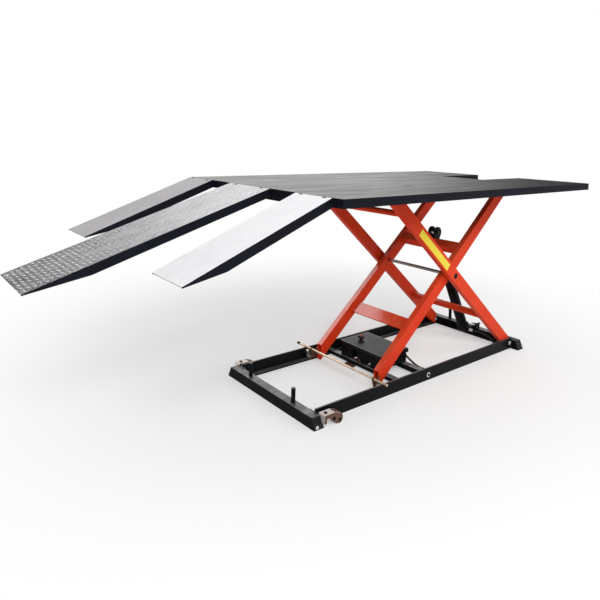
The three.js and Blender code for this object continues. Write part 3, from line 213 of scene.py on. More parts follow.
def painted(name, base, deep, pale, rough, coat, level, dust_and_sheen, peel=0.1, dust=0.2, crown=1.0,
            dust_and_sheen_colour=DUST_AND_SHEEN_GREY):
    """Sprayed paint: cloudy colour, scuffs and orange peel.

    Faces that point up have a clear coat of weight crown instead of coat. They are also
    mixed towards a pale colour by the given amount: partly dust, partly a painted sheen.
    """
    base, deep, pale, dust_and_sheen_colour = map(shade, (base, deep, pale, dust_and_sheen_colour))
    finish = Finish(name, Coat_Roughness=0.16, Specular_IOR_Level=level)
    upward = finish.between(finish.upward(), 0.3, 0.62)
    wet = upward * (crown - coat) + coat
    clouds = finish.noise(3.5, 4)
    streaks = finish.noise(6, 5, vector=finish.stretched(0.35, 2.5, 2.5))
    scuffs = finish.between(finish.noise(90, 2, vector=finish.stretched(1, 0.12, 1)), 0.66, 0.74)
    grime = finish.between(finish.noise(11, 6, 0.7), 0.5, 0.78)
    colour = finish.mix(finish.between(clouds, 0.32, 0.68) * 0.55, base, deep)
    colour = finish.mix(finish.between(streaks, 0.55, 0.8) * dust, colour, pale)
    colour = finish.mix(scuffs * 0.3, colour, pale)
    # Upward faces turn paler: partly dust, partly a painted sheen on the tops.
    top_dust_and_sheen = upward * (finish.between(streaks, 0.4, 0.7) * 0.7 + 0.3) * dust_and_sheen
    colour = finish.mix(top_dust_and_sheen, colour, dust_and_sheen_colour)
    skin = finish.noise(420, 1)
    return finish.set(
        Base_Color=colour,
        Roughness=(grime * 0.14 + scuffs * 0.12 + rough).clamp(),
        Coat_Weight=(wet - grime * wet * 0.5).clamp(),
        Normal=finish.bump(skin, peel, 0.0004),
    )


# The pale orange on the legs' upward faces is a painted sheen.
leg_paint = painted(
    "leg_red_paint", (213, 63, 30), (194, 46, 26), (228, 92, 56),
    rough=0.3, coat=0.03, level=0.04, dust_and_sheen=0.3, dust=0.12, dust_and_sheen_colour=(236, 118, 78))

# %% [markdown]
# ## Black paint on the frame, the pump and the cylinder
# The base stands on the floor, so the tops of its black paint turn paler than the pump's
# and the cylinder's: partly dust, partly painted sheen. The same recipe serves with darker
# colours. The deck's top gets a smoother, shinier one, polished along its length.

# %% Black paints
# The tops of the black paints turn pale grey: partly dust, partly a painted sheen.
frame_paint = painted(
    "frame_black_paint", (16, 16, 18), (9, 9, 11), (44, 43, 42),
    rough=0.32, coat=0.04, level=0.05, dust_and_sheen=0.5)
cylinder_paint = painted(
    "cylinder_black_paint", (14, 13, 14), (8, 8, 9), (34, 32, 32),
    rough=0.3, coat=0.04, level=0.05, dust_and_sheen=0.04, crown=0.3)
treadle_paint = painted(
    "treadle_black_paint", (15, 15, 18), (10, 10, 12), (70, 70, 72),
    rough=0.3, coat=0.05, level=0.1, dust_and_sheen=0.03, crown=0.5)
# Dark paint of the deck's edges; on the ramp flanges it also stands for painted shade.
deck_edge_paint = painted(
    "deck_edge_paint", (19, 21, 29), (13, 15, 21), (42, 45, 54),
    rough=0.4, coat=0.02, level=0.05, dust_and_sheen=0.1, dust=0.12, crown=0.4)


def rolled_top(name, base, deep, pale, rough, level, metallic=0.0, grain_scale=(1.2, 9, 9), uneven=0.16):
    """Sheet that tyres and boots have polished along its length."""
    base, deep, pale = map(shade, (base, deep, pale))
    finish = Finish(name, Specular_IOR_Level=level, Metallic=metallic)
    wear = finish.noise(4, 6, 0.65, finish.stretched(*grain_scale))
    patches = finish.noise(2.2, 3)
    specks = finish.between(finish.noise(160, 2), 0.68, 0.75)
    drag = finish.between(finish.noise(60, 3, vector=finish.stretched(0.12, 3, 3)), 0.6, 0.72)
    colour = finish.mix(finish.between(wear, 0.3, 0.72), deep, base)
    colour = finish.mix(finish.between(patches, 0.5, 0.75) * 0.45, colour, pale)
    colour = finish.mix((specks * 0.35 + drag * 0.22).clamp(), colour, pale)
    return finish.set(
        Base_Color=colour,
        Roughness=(wear * uneven + drag * 0.1 + rough).clamp(),
        Normal=finish.bump(finish.noise(300, 1) + drag * 0.5, 0.08, 0.0004),
    )


deck_paint = rolled_top(
    "deck_top_paint", (28, 28, 31), (17, 17, 20), (58, 58, 62),
    rough=0.06, level=0.6, grain_scale=(0.45, 4, 4), uneven=0.42)

# %% [markdown]
# ## Ramps
# The ramp sheets are bright metal. The near sheet is painted nearly white and the far one
# greyer, a painted reflection of the brighter light on the near ramp. The plain sheets are
# dull and scatter light, so they are only partly metallic. The checker plate is nearly all
# metal, and what it mirrors gives it its shading, greyer than the near sheet. The flanges
# take the deck edges' dark paint, which on the checker plate is painted shade on its sides.

# %% Ramp finishes
# The near sheet is painted lighter than the far one: a painted reflection.
near_sheet_painted_bright = rolled_top(
    "ramp_sheet_near", (246, 246, 248), (238, 239, 241), (250, 250, 250),
    rough=0.34, level=0.5, metallic=0.35)
far_sheet_painted_dim = rolled_top(
    "ramp_sheet_far", (196, 193, 196), (180, 177, 180), (206, 203, 206),
    rough=0.36, level=0.5, metallic=0.3)
plate_sheet = rolled_top(
    "ramp_checker_plate", (240, 239, 242), (214, 213, 216), (246, 246, 247),
    rough=0.2, level=0.5, metallic=0.98, grain_scale=(0.8, 5, 5))

# %% [markdown]
# ## Steel, zinc and chrome
# Turned steel shows rings round its axis, plated parts a cloudy yellow or grey cast. A
# clean surface is wholly metallic, a dull or oxidised one less. Noise breaks up the
# roughness of each, so that none looks moulded.

# %% Metals
def metal(name, base, other, rough, grain=(30, 30, 30), bump=0.06, metallic=1.0):
    """Bare or plated metal of two shades; grain stretches its fine marks along an axis."""
    base, other = shade(base), shade(other)
    finish = Finish(name, Metallic=metallic, Specular_IOR_Level=0.3)
    cast = finish.noise(14, 4, 0.6)
    fine = finish.noise(8, 4, 0.7, finish.stretched(*grain))
    spots = finish.between(finish.noise(70, 3), 0.6, 0.72)
    colour = finish.mix(finish.between(cast, 0.35, 0.7) * 0.6, base, other)
    return finish.set(
        Base_Color=finish.mix(spots * 0.35, colour, other),
        Roughness=(fine * 0.2 + spots * 0.12 + rough).clamp(),
        Normal=finish.bump(fine, bump, 0.0005),
    )


steel = metal("turned_steel", (176, 174, 170), (128, 124, 118), rough=0.22, grain=(1, 60, 1))
bolt_steel = metal("bolt_zinc", (228, 228, 226), (190, 189, 185), rough=0.26, metallic=0.55)
chrome = metal("rod_chrome", (214, 214, 216), (180, 182, 186), rough=0.06, grain=(40, 2, 40),
               bump=0.02)
yellow_zinc = metal("yellow_zinc", (238, 214, 190), (186, 146, 118), rough=0.2, metallic=0.8)
pale_zinc = metal("pale_zinc", (236, 228, 222), (204, 188, 176), rough=0.28, metallic=0.6)
# Dark zinc is the plating of the foot fittings and the pump's foot and lever, and painted shade on the caster
# brackets' sides.
dark_zinc = metal("dark_zinc", (104, 76, 60), (74, 52, 42), rough=0.36, metallic=0.35)
wheel_zinc = metal("wheel_zinc", (140, 108, 88), (88, 64, 52), rough=0.32, grain=(1, 40, 1),
                   metallic=0.7)
# Black oxide for pins, nuts, bolts and the grip; also painted shade in the legs' bore and on the shaft's ends.
black_oxide = metal("black_oxide", (34, 32, 32), (20, 19, 19), rough=0.34, metallic=0.6)

# %% [markdown]
# ## Rubber and plastic
# The hose has a grainy rubber cover, the knob is moulded black plastic and its button red.

# %% Rubber and plastic
def moulded(name, base, worn, rough, bump=0.1, scale=900):
    """A dull moulded surface, paler where it is worn."""
    base, worn = shade(base), shade(worn)
    finish = Finish(name)
    dust = finish.between(finish.noise(25, 5, 0.7), 0.5, 0.8)
    return finish.set(
        Base_Color=finish.mix(dust * 0.5, base, worn),
        Roughness=(dust * 0.2 + rough).clamp(),
        Normal=finish.bump(finish.noise(scale, 2), bump, 0.0003),
    )


rubber = moulded("hose_rubber", (24, 24, 25), (66, 64, 62), rough=0.62, bump=0.3, scale=500)
knob_plastic = moulded("knob_plastic", (20, 20, 21), (52, 52, 54), rough=0.42)
button_plastic = moulded("button_plastic", (196, 52, 30), (160, 52, 38), rough=0.35)

# %% [markdown]
# ## Rounded edges
# A frame part is made of loose triangles with knife edges. No real edge is that sharp:
# sheet has a rolled edge, tube a radius, and paint softens both. We join a copy's points,
# melt its flat triangles together, and bevel only the edges that turn by more than 32
# degrees. Weighted normals then keep the wide faces flat while the small ones shine.

# %% A softened copy of a part
MERGE, FLAT_BELOW, BEVEL_ABOVE = 0.02 * MM, math.radians(1.5), math.radians(32)


def smooth_below(mesh, degrees):
    """Shade a mesh smooth, but sharp at the edges that turn by more than that."""
    mesh.shade_smooth()
    mesh.set_sharp_from_angle(angle=math.radians(degrees))


def keep(piece, node):
    """Put a finished piece in a frame part's stead."""
    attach(piece, BODY_OF[node])
    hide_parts(node)


def object_of(name, mesh):
    """Put a mesh or a curve in the scene."""
    piece = bpy.data.objects.new(name, mesh)
    bpy.context.scene.collection.objects.link(piece)
    return piece


def settle(piece):
    """Turn a piece and its modifiers into a plain mesh."""
    graph = bpy.context.evaluated_depsgraph_get()
    shape = piece.evaluated_get(graph)
    mesh = bpy.data.meshes.new_from_object(shape, preserve_all_data_layers=True, depsgraph=graph)
    piece.modifiers.clear()
    piece.data = mesh


def mesh_of(name, form, finish):
    """Close a bmesh into a mesh with one finish."""
    mesh = bpy.data.meshes.new(name)
    form.to_mesh(mesh)
    form.free()
    mesh.materials.append(finish)
    return mesh


def fitted(name, mesh, body):
    """Put a small piece in the scene, to move with a body."""
    piece = object_of(name, mesh)
    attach(piece, body)


def softened(node, finishes, edge, second=None, cut=None):
    """Replace a part with a finished copy whose edges are rounded by so many mm.

    second tells from a face's middle and normal whether it has the second finish. cut is
    a plane (point, normal) that splits the faces first, where a finish ends inside one.
    """
    source = frame["nodes"][node].data
    mesh = bpy.data.meshes.new(node + "_finished")
    mesh.from_pydata([v.co for v in source.vertices], [], [list(p.vertices) for p in source.polygons])
    form = bmesh.new()
    form.from_mesh(mesh)
    bmesh.ops.remove_doubles(form, verts=form.verts, dist=MERGE)
    bmesh.ops.dissolve_limit(form, angle_limit=FLAT_BELOW, verts=form.verts, edges=form.edges)
    if cut:
        everything = form.verts[:] + form.edges[:] + form.faces[:]
        bmesh.ops.bisect_plane(form, geom=everything, plane_co=cut[0], plane_no=cut[1])
    for face in form.faces:
        face.material_index = int(bool(second) and second(face.calc_center_median(), face.normal))
    form.to_mesh(mesh)
    form.free()
    for finish in finishes:
        mesh.materials.append(finish)
    piece = object_of(node + "_finished", mesh)
    bevel = piece.modifiers.new("edge", "BEVEL")
    bevel.width, bevel.segments, bevel.miter_outer = edge * MM, 2, "MITER_ARC"
    bevel.limit_method, bevel.angle_limit = "ANGLE", BEVEL_ABOVE
    piece.modifiers.new("flat", "WEIGHTED_NORMAL").keep_sharp = True
    smooth_below(mesh, 48)
    settle(piece)
    slot_name = next(s["material_slot"] for s in frame["record"]["subparts"] if s["node"] == node)
    keep(piece, node)

# %% [markdown]
# Which finish and how round an edge each part gets is a table, so it is easy to read and
# to change. Thin plate gets less than a millimetre, square tube two or three.

# %% Finishes by part
def sides(*stems):
    """The near and the far part of each name."""
    return [f"{stem}_{side}" for stem in stems for side in SIGN]


TABLE = [
    (sides("inner_leg"), leg_paint, 3.2),
    (["inner_beam"], leg_paint, 3.0),
    (["inner_cross_plate"], leg_paint, 1.2),
    (["clevis"], cylinder_paint, 1.2),
    (["outer_tube_lower", "outer_tube_upper"], leg_paint, 0.8),
    (sides("rail"), frame_paint, 2.0),
    (["crossbar_front", "crossbar_rear", "bearer_front", "bearer_rear"], frame_paint, 1.4),
    (sides("stop_post_front", "stop_post_rear"), frame_paint, 0.8),
    (["cylinder_lug", "pedal_bracket", "release_pedal", "pump_body"], frame_paint, 0.9),
    (["deck_bearer"] + sides("deck_hinge"), frame_paint, 0.9),
    (sides("roller_track"), frame_paint, 0.7),
    (["cylinder_barrel"], cylinder_paint, 1.0),
    (["piston_rod"], chrome, 0.6),
    (sides("pivot_pin", "hinge_pin"), bolt_steel, 0.8),
    (["clevis_pin"], black_oxide, 0.8),
    (["release_knob"], knob_plastic, 1.2),
    (["knob_button"], button_plastic, 0.5),
]
for nodes, finish, edge in TABLE:
    for node in nodes:
        softened(node, [finish], edge)

# %% [markdown]
# Some parts wear two finishes. The outer legs are painted black inside the recess round
# the shaft: painted shade for the dark of the hole. The foot fittings are sprayed where they
# lie on the legs and plated in front of them. The lock bar ends in a black grip, and the
# centre shaft has black ends, painted shade deep in that recess. The caster brackets are
# pale on top and dark on their sides, and that dark is painted shade. A face's place, or
# the way that it points, tells whether it has the second finish.

# %% Two finishes on one part
GRIP_LENGTH, BARE_FOOT, SHAFT_SHADED_END, RECESS_RADIUS = 22.2 * MM, 6 * MM, 6 * MM, 17.5 * MM
GRIP_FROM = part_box("lock_bar")[1].y - GRIP_LENGTH
FOOT_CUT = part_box("inner_leg_near")[0].x + BARE_FOOT
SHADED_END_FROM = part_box("centre_shaft")[1].y - SHAFT_SHADED_END
SHAFT = middle("centre_shaft")[0]


# The bore round the shaft is painted black: painted shade for the dark of the hole.
def recess_painted_shade(place, facing):
    return math.hypot(place.x - SHAFT.x, place.z - SHAFT.z) < RECESS_RADIUS and abs(facing.y) < 0.5


for node in sides("outer_leg"):
    softened(node, [leg_paint, black_oxide], 3.2, recess_painted_shade)
for side in SIGN:
    softened(f"foot_bracket_{side}", [leg_paint, dark_zinc], 0.6, lambda place, facing: place.x <= FOOT_CUT,
             cut=(Vector((FOOT_CUT, 0, 0)), Vector((1, 0, 0))))
    # The caster brackets' sides take the dark zinc as painted shade; their tops keep the pale zinc.
    softened(f"caster_bracket_{side}", [pale_zinc, dark_zinc], 0.8, lambda place, facing: abs(facing.y) > 0.6)
softened("lock_bar", [yellow_zinc, black_oxide], 0.8, lambda place, facing: place.y > GRIP_FROM)
# The shaft's ends, deep in the legs' bore, are painted black: painted shade.
softened("centre_shaft", [steel, black_oxide], 0.6, lambda place, facing: abs(place.y) > SHADED_END_FROM)

# %% [markdown]
# The deck and the ramps are folded sheet with two faces to tell apart: the top, which is
# driven on, and the flanges. The way that a face points tells which it is.

# %% Deck and ramps
def on_flange(place, facing):
    return facing.z <= 0.6


for node in ["deck_centre"] + sides("deck_side"):
    softened(node, [deck_paint, deck_edge_paint], 1.2, on_flange)
# The ramp flanges take the dark edge paint: on the galvanised checker plate it is painted shade on its sides, and
# on the plain ramps it makes the sides darker than the tops.
for way, sheet in (("near", near_sheet_painted_bright), ("far", far_sheet_painted_dim), ("centre", plate_sheet)):
    softened(f"ramp_{way}", [sheet, deck_edge_paint], 0.9, on_flange)
softened("treadle", [treadle_paint], 1.2)

# %% [markdown]
# ## Turned parts
# Rollers and wheels come off a lathe, so we make them the same way: a profile of radius
# and place along the axle, swept round in 64 steps. The profile carries the hub, the dish
# between hub and tread, and small chamfers that catch the light. Both faces of a wheel
# are alike, so one is drawn, as radius and depth, and the other mirrors it.

# %% A lathe
LATHE_STEPS, LATHE_MERGE = 64, 0.005 * MM


def lathe_mesh(name, profile, centre, axis, finish, steps=LATHE_STEPS):
    """Sweep (radius, along) points in mm about an axis; a closed profile gives a ring."""
    form = bmesh.new()
    turn = axis.to_track_quat("Z", "Y").to_matrix()
    rings = []
    for step in range(steps):
        angle = 2 * math.pi * step / steps
        rings.append([
            form.verts.new(centre + turn @ Vector((r * math.cos(angle), r * math.sin(angle), z)) * MM)
            for r, z in profile
        ])
    for step in range(steps):
        here, there = rings[step], rings[(step + 1) % steps]
        for k in range(len(profile)):
            following = (k + 1) % len(profile)
            form.faces.new((here[k], there[k], there[following], here[following]))
    bmesh.ops.remove_doubles(form, verts=form.verts, dist=LATHE_MERGE)
    bmesh.ops.recalc_face_normals(form, faces=form.faces)
    mesh = mesh_of(name, form, finish)
    smooth_below(mesh, 30)
    return mesh


def turned(name, start, end, profile, finish, body, steps=24):
    """A turned piece: (radius, along) points in mm from start towards end."""
    way = (Vector(end) - Vector(start)).normalized()
    fitted(name, lathe_mesh(name, profile, Vector(start), way, finish, steps), body)


def both_faces(face, width):
    """A wheel's whole profile, from (radius, depth) points in mm on one face."""
    half = width / MM / 2
    return [(r, deep - half) for r, deep in face] + [(r, half - deep) for r, deep in face[::-1]]


ALONG_Y = Vector((0, 1, 0))
ROLLER_FACE = [(8.2, 0), (14.2, 0), (15, 0.8), (15, 3.6), (16, 4), (25.6, 4), (26.4, 3.2), (26.4, 0.6),
               (27, 0), (29.2, 0), (30.4, 1.2)]
WHEEL_FACE = [(6.3, 0), (12, 0), (12.8, 0.8), (13.4, 2), (22, 3), (23.4, 0.8), (24.4, 0), (26, 0),
              (27.4, 1.4)]
ROUND_PARTS = [
    ("deck_roller", ROLLER_FACE, steel, "bright_steel"),
    ("base_roller", ROLLER_FACE, steel, "bright_steel"),
    ("caster_wheel", WHEEL_FACE, wheel_zinc, "yellow_zinc"),
]
for side in SIGN:
    for kind, face, finish, slot_name in ROUND_PARTS:
        node = f"{kind}_{side}"
        place, size = middle(node)
        mesh = lathe_mesh(node, both_faces(face, size.y), place, ALONG_Y, finish)
        keep(object_of(node + "_finished", mesh), node)

# %% [markdown]
# ## Geometry Nodes, written as steps
# Bolts, welds and checker plate all repeat one small shape many times. Geometry Nodes
# does that with named sizes that stay easy to change. The class below writes a tree one
# step at a time; `grow` feeds it a base mesh and gives back a plain mesh.

# %% Steps of a node tree
class Steps:
    """A Geometry Nodes tree with named sizes, written one step at a time."""

    KINDS = {float: "NodeSocketFloat", int: "NodeSocketInt"}

    def __init__(self, name, **sizes):
        self.tree = bpy.data.node_groups.new(name, "GeometryNodeTree")
        face = self.tree.interface
        face.new_socket("Geometry", in_out="OUTPUT", socket_type="NodeSocketGeometry")
        face.new_socket("Geometry", in_out="INPUT", socket_type="NodeSocketGeometry")
        for label, value in sizes.items():
            socket = face.new_socket(label, in_out="INPUT", socket_type=self.KINDS[type(value)])
            socket.default_value = value
        face.new_socket("Finish", in_out="INPUT", socket_type="NodeSocketMaterial")
        self.given = self.tree.nodes.new("NodeGroupInput")
        self.result = self.tree.nodes.new("NodeGroupOutput")

    def take(self, label):
        return self.given.outputs[label]

    def step(self, kind, settings=None, output=0, **inputs):
        """Add a node; an input called _2 is its third socket."""
        node = self.tree.nodes.new(kind)
        for key, value in (settings or {}).items():
            setattr(node, key, value)
        for key, value in inputs.items():
            socket = node.inputs[int(key[1:])] if key[0] == "_" else node.inputs[key.replace("_", " ")]
            if isinstance(value, bpy.types.NodeSocket):
                self.tree.links.new(value, socket)
            else:
                socket.default_value = value
        return node.outputs[output]

    def maths(self, operation, first, second=0.0):
        return self.step("ShaderNodeMath", {"operation": operation}, _0=first, _1=second)

    def finish(self, shape):
        """End the tree with one real mesh in the tree's finish."""
        solid = self.step("GeometryNodeRealizeInstances", Geometry=shape)
        painted_shape = self.step("GeometryNodeSetMaterial", Geometry=solid, Material=self.take("Finish"))
        self.tree.links.new(painted_shape, self.result.inputs[0])
        return self


def grow(name, mesh, steps, finish, body, slot_name, smooth=35, **sizes):
    """Run a tree over a base mesh and keep what it makes as one plain piece of a body."""
    piece = object_of(name, mesh)
    grown = piece.modifiers.new("grown", "NODES")
    grown.node_group = steps.tree
    items = steps.tree.interface.items_tree
    sockets = {item.name: item.identifier for item in items if item.in_out == "INPUT"}
    grown[sockets["Finish"]] = finish
    for label, value in sizes.items():
        grown[sockets[label]] = value
    settle(piece)
    if not piece.data.materials:
        piece.data.materials.append(finish)
    smooth_below(piece.data, smooth)
    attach(piece, body)
    print(name, len(piece.data.polygons), "faces")
    return piece


# %% [markdown]
# ## Weld beads
# A bead is a row of small overlapping ripples laid along the corner of two parts. The
# tree takes a line, puts a point every few millimetres and lays a small ball on each,
# slightly uneven in size, as a hand-made weld is.

# %% The weld tree
def weld_steps():
    steps = Steps("weld_bead", Spacing=0.0026, Radius=0.0027, Uneven=0.18, Seed=7)
    line = steps.step("GeometryNodeMeshToCurve", Mesh=steps.take("Geometry"))
    points = steps.step("GeometryNodeResampleCurve", {"mode": "LENGTH"}, Curve=line,
                        Length=steps.take("Spacing"))
    ball = steps.step("GeometryNodeMeshIcoSphere", Radius=steps.take("Radius"), Subdivisions=1)
    low = steps.maths("SUBTRACT", 1.0, steps.take("Uneven"))
    high = steps.maths("ADD", 1.0, steps.take("Uneven"))
    size = steps.step("FunctionNodeRandomValue", {"data_type": "FLOAT"}, output=1, _2=low, _3=high,
                      Seed=steps.take("Seed"))
    spread = steps.step("GeometryNodeInstanceOnPoints", Points=points, Instance=ball, Scale=size)
    return steps.finish(spread)


WELD = weld_steps()


def weld(name, paths, finish, body, slot_name):
    """Beads along polylines, in metres."""
    mesh = bpy.data.meshes.new(name)
    points, edges = [], []
    for path in paths:
        start = len(points)
        points += [tuple(p) for p in path]
        edges += [(start + k, start + k + 1) for k in range(len(path) - 1)]
    mesh.from_pydata(points, edges, [])
    grow(name, mesh, WELD, finish, body, slot_name)


def hull(points):
    """Corners of the outline round some flat points, in order."""
    points = sorted({(round(a, 6), round(b, 6)) for a, b in points})

    def half(row):
        chain = []
        for p in row:
            while len(chain) > 1 and ((chain[-1][0] - chain[-2][0]) * (p[1] - chain[-2][1])
                                      - (chain[-1][1] - chain[-2][1]) * (p[0] - chain[-2][0])) <= 0:
                chain.pop()
            chain.append(p)
        return chain[:-1]

    return half(points) + half(points[::-1])


SAME_PLANE = 0.5 * MM


def end_loop(node, last, out_by=0.4 * MM):
    """The outline of a part's near or far end, pushed out a little from its middle."""
    low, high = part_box(node)
    plane = (high if last else low).y
    flat = hull([(v.co.x, v.co.z) for v in frame["nodes"][node].data.vertices
                 if abs(v.co.y - plane) < SAME_PLANE])
    centre = Vector((sum(p[0] for p in flat), sum(p[1] for p in flat))) / len(flat)
    path = []
    for p in flat + flat[:1]:
        out = Vector(p) - centre
        out = centre + out * (1 + out_by / out.length)
        path.append((out.x, plane, out.y))
    return path


def both_ends(*nodes):
    """Outlines of the two ends of pieces that run across the legs."""
    return [end_loop(node, last) for node in nodes for last in (False, True)]


weld("outer_leg_welds", both_ends("outer_tube_lower", "outer_tube_upper"), leg_paint,
     "outer_legs", "leg_paint")
weld("inner_leg_welds", both_ends("inner_cross_plate", "inner_beam"), leg_paint, "inner_legs", "leg_paint")

# %% [markdown]
# The base is welded as well: round the feet of the four posts, where the rails meet the
# crossbars, and where the two bearers meet the rails.

# %% Welds on the base
def ring_round(node, out_by=0.6 * MM, corners=24):
    """A ring on the ground of an upright post."""
    low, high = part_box(node)
    centre, radius = (low + high) / 2, (high.x - low.x) / 2 + out_by
    angles = [2 * math.pi * k / corners for k in range(corners + 1)]
    return [(centre.x + radius * math.cos(a), centre.y + radius * math.sin(a), low.z) for a in angles]


def slope(node, last):
    """Where the foot and the top of a crossbar's sloping side stand, and how high it is."""
    low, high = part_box(node)
    pick = max if last else min
    top = pick(v.co.x for v in frame["nodes"][node].data.vertices if v.co.z > high.z - SAME_PLANE)
    return (high if last else low).x, top, high.z


WELD_FROM = 6 * MM
base_welds = [ring_round(node) for node in sides("stop_post_front", "stop_post_rear")]
for side, sign in SIGN.items():
    inside, outside = face_y(f"rail_{side}", -sign), face_y(f"rail_{side}", sign)
    for node, last in (("crossbar_front", True), ("crossbar_rear", False)):
        foot, top, tall = slope(node, last)
        base_welds.append([(foot, inside, WELD_FROM), (top, inside, tall),
                           (top, outside, tall), (foot, outside, WELD_FROM)])
    for node in ("bearer_front", "bearer_rear"):
        low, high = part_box(node)
        base_welds.append([(low.x, inside, low.z), (low.x, inside, high.z),
                           (high.x, inside, high.z), (high.x, inside, low.z)])
weld("base_welds", base_welds, frame_paint, "base", "frame_paint")

# %% [markdown]
# ## Checker plate
# The long ramp and the pump's treadle have raised lugs, so that boots and tyres grip.
# The lugs lie on a square grid and every second one is turned the other way. The tree
# makes the grid, turns each lug by the parity of its row and column, and the result is
# then laid on the plate by moving its points.

# %% The checker tree
def checker_steps():
    steps = Steps("checker_plate", Length=1.0, Width=0.3, Pitch=0.02, Lug=0.014, Girth=0.005, Height=0.0014)
    pitch = steps.take("Pitch")
    rows, columns = (steps.maths("FLOOR", steps.maths("DIVIDE", steps.take(reach), pitch))
                     for reach in ("Length", "Width"))
    long_side, short_side = (steps.maths("MULTIPLY", steps.maths("SUBTRACT", count, 1.0), pitch)
                             for count in (rows, columns))
    grid = steps.step("GeometryNodeMeshGrid", Size_X=long_side, Size_Y=short_side,
                      Vertices_X=rows, Vertices_Y=columns)
    place = steps.step("GeometryNodeInputIndex")
    row = steps.maths("FLOOR", steps.maths("DIVIDE", place, columns))
    column = steps.maths("MODULO", place, columns)
    parity = steps.maths("MODULO", steps.maths("ADD", row, column), 2.0)
    angle = steps.maths("MULTIPLY", steps.maths("SUBTRACT", parity, 0.5), math.pi / 2)
    turn = steps.step("ShaderNodeCombineXYZ", Z=angle)
    ball = steps.step("GeometryNodeMeshUVSphere", Segments=8, Rings=4, Radius=1.0)
    size = steps.step("ShaderNodeCombineXYZ", X=steps.maths("MULTIPLY", steps.take("Lug"), 0.5),
                      Y=steps.maths("MULTIPLY", steps.take("Girth"), 0.5), Z=steps.take("Height"))
    lug = steps.step("GeometryNodeTransform", Geometry=ball, Scale=size)
    spread = steps.step("GeometryNodeInstanceOnPoints", Points=grid, Instance=lug, Rotation=turn)
    return steps.finish(spread)


CHECKER = checker_steps()


def lay_on(piece, origin, along, normal):
    """Move a flat pattern from the ground plane onto a plate."""
    side = normal.cross(along)
    place = Matrix((along, side, normal)).transposed().to_4x4()
    piece.data.transform(Matrix.Translation(origin) @ place)
    piece.data.update()


def top_plane(node):
    """Middle, length, width and directions of a part's top, from its largest upward face."""
    mesh = frame["nodes"][node].data
    largest = max((p for p in mesh.polygons if p.normal.z > 0.7), key=lambda p: p.area)
    normal, reach = largest.normal.copy(), largest.center.dot(largest.normal)
    points = [mesh.vertices[v].co for p in mesh.polygons for v in p.vertices
              if p.normal.dot(normal) > 0.999 and abs(p.center.dot(normal) - reach) < 0.3 * MM]
    along = normal.cross(ALONG_Y).normalized() * -1
    run = [p.dot(along) for p in points]
    wide = [p.y for p in points]
    centre = along * (max(run) + min(run)) / 2 + normal * reach + Vector((0, (max(wide) + min(wide)) / 2, 0))
    return centre, max(run) - min(run), max(wide) - min(wide), along, normal


PLATE_MARGIN, LUG_SUNK = 0.012, 0.05 * MM


def checkered(node, name, finish, slot_name, **lug_sizes):
    """Cover a part's top with lugs."""
    centre, length, width, along, normal = top_plane(node)
    piece = grow(name, bpy.data.meshes.new(name), CHECKER, finish, BODY_OF[node], slot_name, smooth=60,
                 Length=length - PLATE_MARGIN, Width=width - PLATE_MARGIN, **lug_sizes)
    lay_on(piece, centre - normal * LUG_SUNK, along, normal)


lug_bright = rolled_top(
    "checker_lugs", (218, 218, 220), (190, 190, 193), (230, 230, 231),
    rough=0.3, level=0.5, metallic=0.8)
checkered("ramp_centre", "ramp_centre_lugs", lug_bright, "ramp_paint",
          Pitch=0.0215, Lug=0.0195, Girth=0.0066, Height=0.0009)
checkered("treadle", "treadle_lugs", treadle_paint, "deck_paint",
          Pitch=0.0125, Lug=0.0112, Girth=0.0042, Height=0.0011)

# %% [markdown]
# ## Bolts
# A bolt head is a hexagon with its corners turned off, standing on a washer. It is drawn
# once, as a mesh with bevels, and the tree sets a copy on every point of the base mesh,
# turned the way that the point's `turn` attribute says.

# %% The bolt tree
def bolt_shape(finish, across_flats=0.013, tall=0.0055, washer=0.0016, chamfer=0.0012):
    """One bolt head on its washer, standing on the origin."""
    form = bmesh.new()
    disc = bmesh.ops.create_cone(form, segments=24, cap_ends=True, radius1=across_flats * 0.88,
                                 radius2=across_flats * 0.86, depth=washer)
    bmesh.ops.translate(form, verts=disc["verts"], vec=(0, 0, washer / 2))
    radius = across_flats / math.sqrt(3)
    head = bmesh.ops.create_cone(form, segments=6, cap_ends=True, radius1=radius, radius2=radius, depth=tall)
    bmesh.ops.translate(form, verts=head["verts"], vec=(0, 0, washer + tall / 2))
    rim = [e for e in form.edges if all(v.co.z > washer + tall * 0.9 for v in e.verts)]
    bmesh.ops.bevel(form, geom=rim, offset=chamfer, segments=2, affect="EDGES", profile=0.6)
    return object_of("bolt_pattern", mesh_of("bolt", form, finish))


def bolt_steps(pattern):
    """A copy of the pattern on every point of the base mesh."""
    steps = Steps("bolts", Scale=1.0)
    shape = steps.step("GeometryNodeObjectInfo", output=4, Object=pattern)
    turn = steps.step("GeometryNodeInputNamedAttribute", {"data_type": "FLOAT_VECTOR"}, Name="turn")
    spread = steps.step("GeometryNodeInstanceOnPoints", Points=steps.take("Geometry"), Instance=shape,
                        Rotation=turn, Scale=steps.take("Scale"))
    return steps.finish(spread)


PATTERN = bolt_shape(bolt_steel)
BOLTS = bolt_steps(PATTERN)


def bolts(name, body, slot_name, places, finish=bolt_steel, scale=1.0):
    """Bolts at places: (point in metres, direction that the head faces)."""
    mesh = bpy.data.meshes.new(name)
    mesh.from_pydata([tuple(point) for point, facing in places], [], [])
    turn = mesh.attributes.new("turn", "FLOAT_VECTOR", "POINT")
    for k, (point, facing) in enumerate(places):
        turn.data[k].vector = Vector(facing).to_track_quat("Z", "Y").to_euler()
    grow(name, mesh, BOLTS, finish, body, slot_name, Scale=scale)

# %% [markdown]
# Where the bolts sit: a dark one on a bright washer through each rail into the rear
# bearer, one low on each end of the crossbars, and three dark ones on each caster bracket.

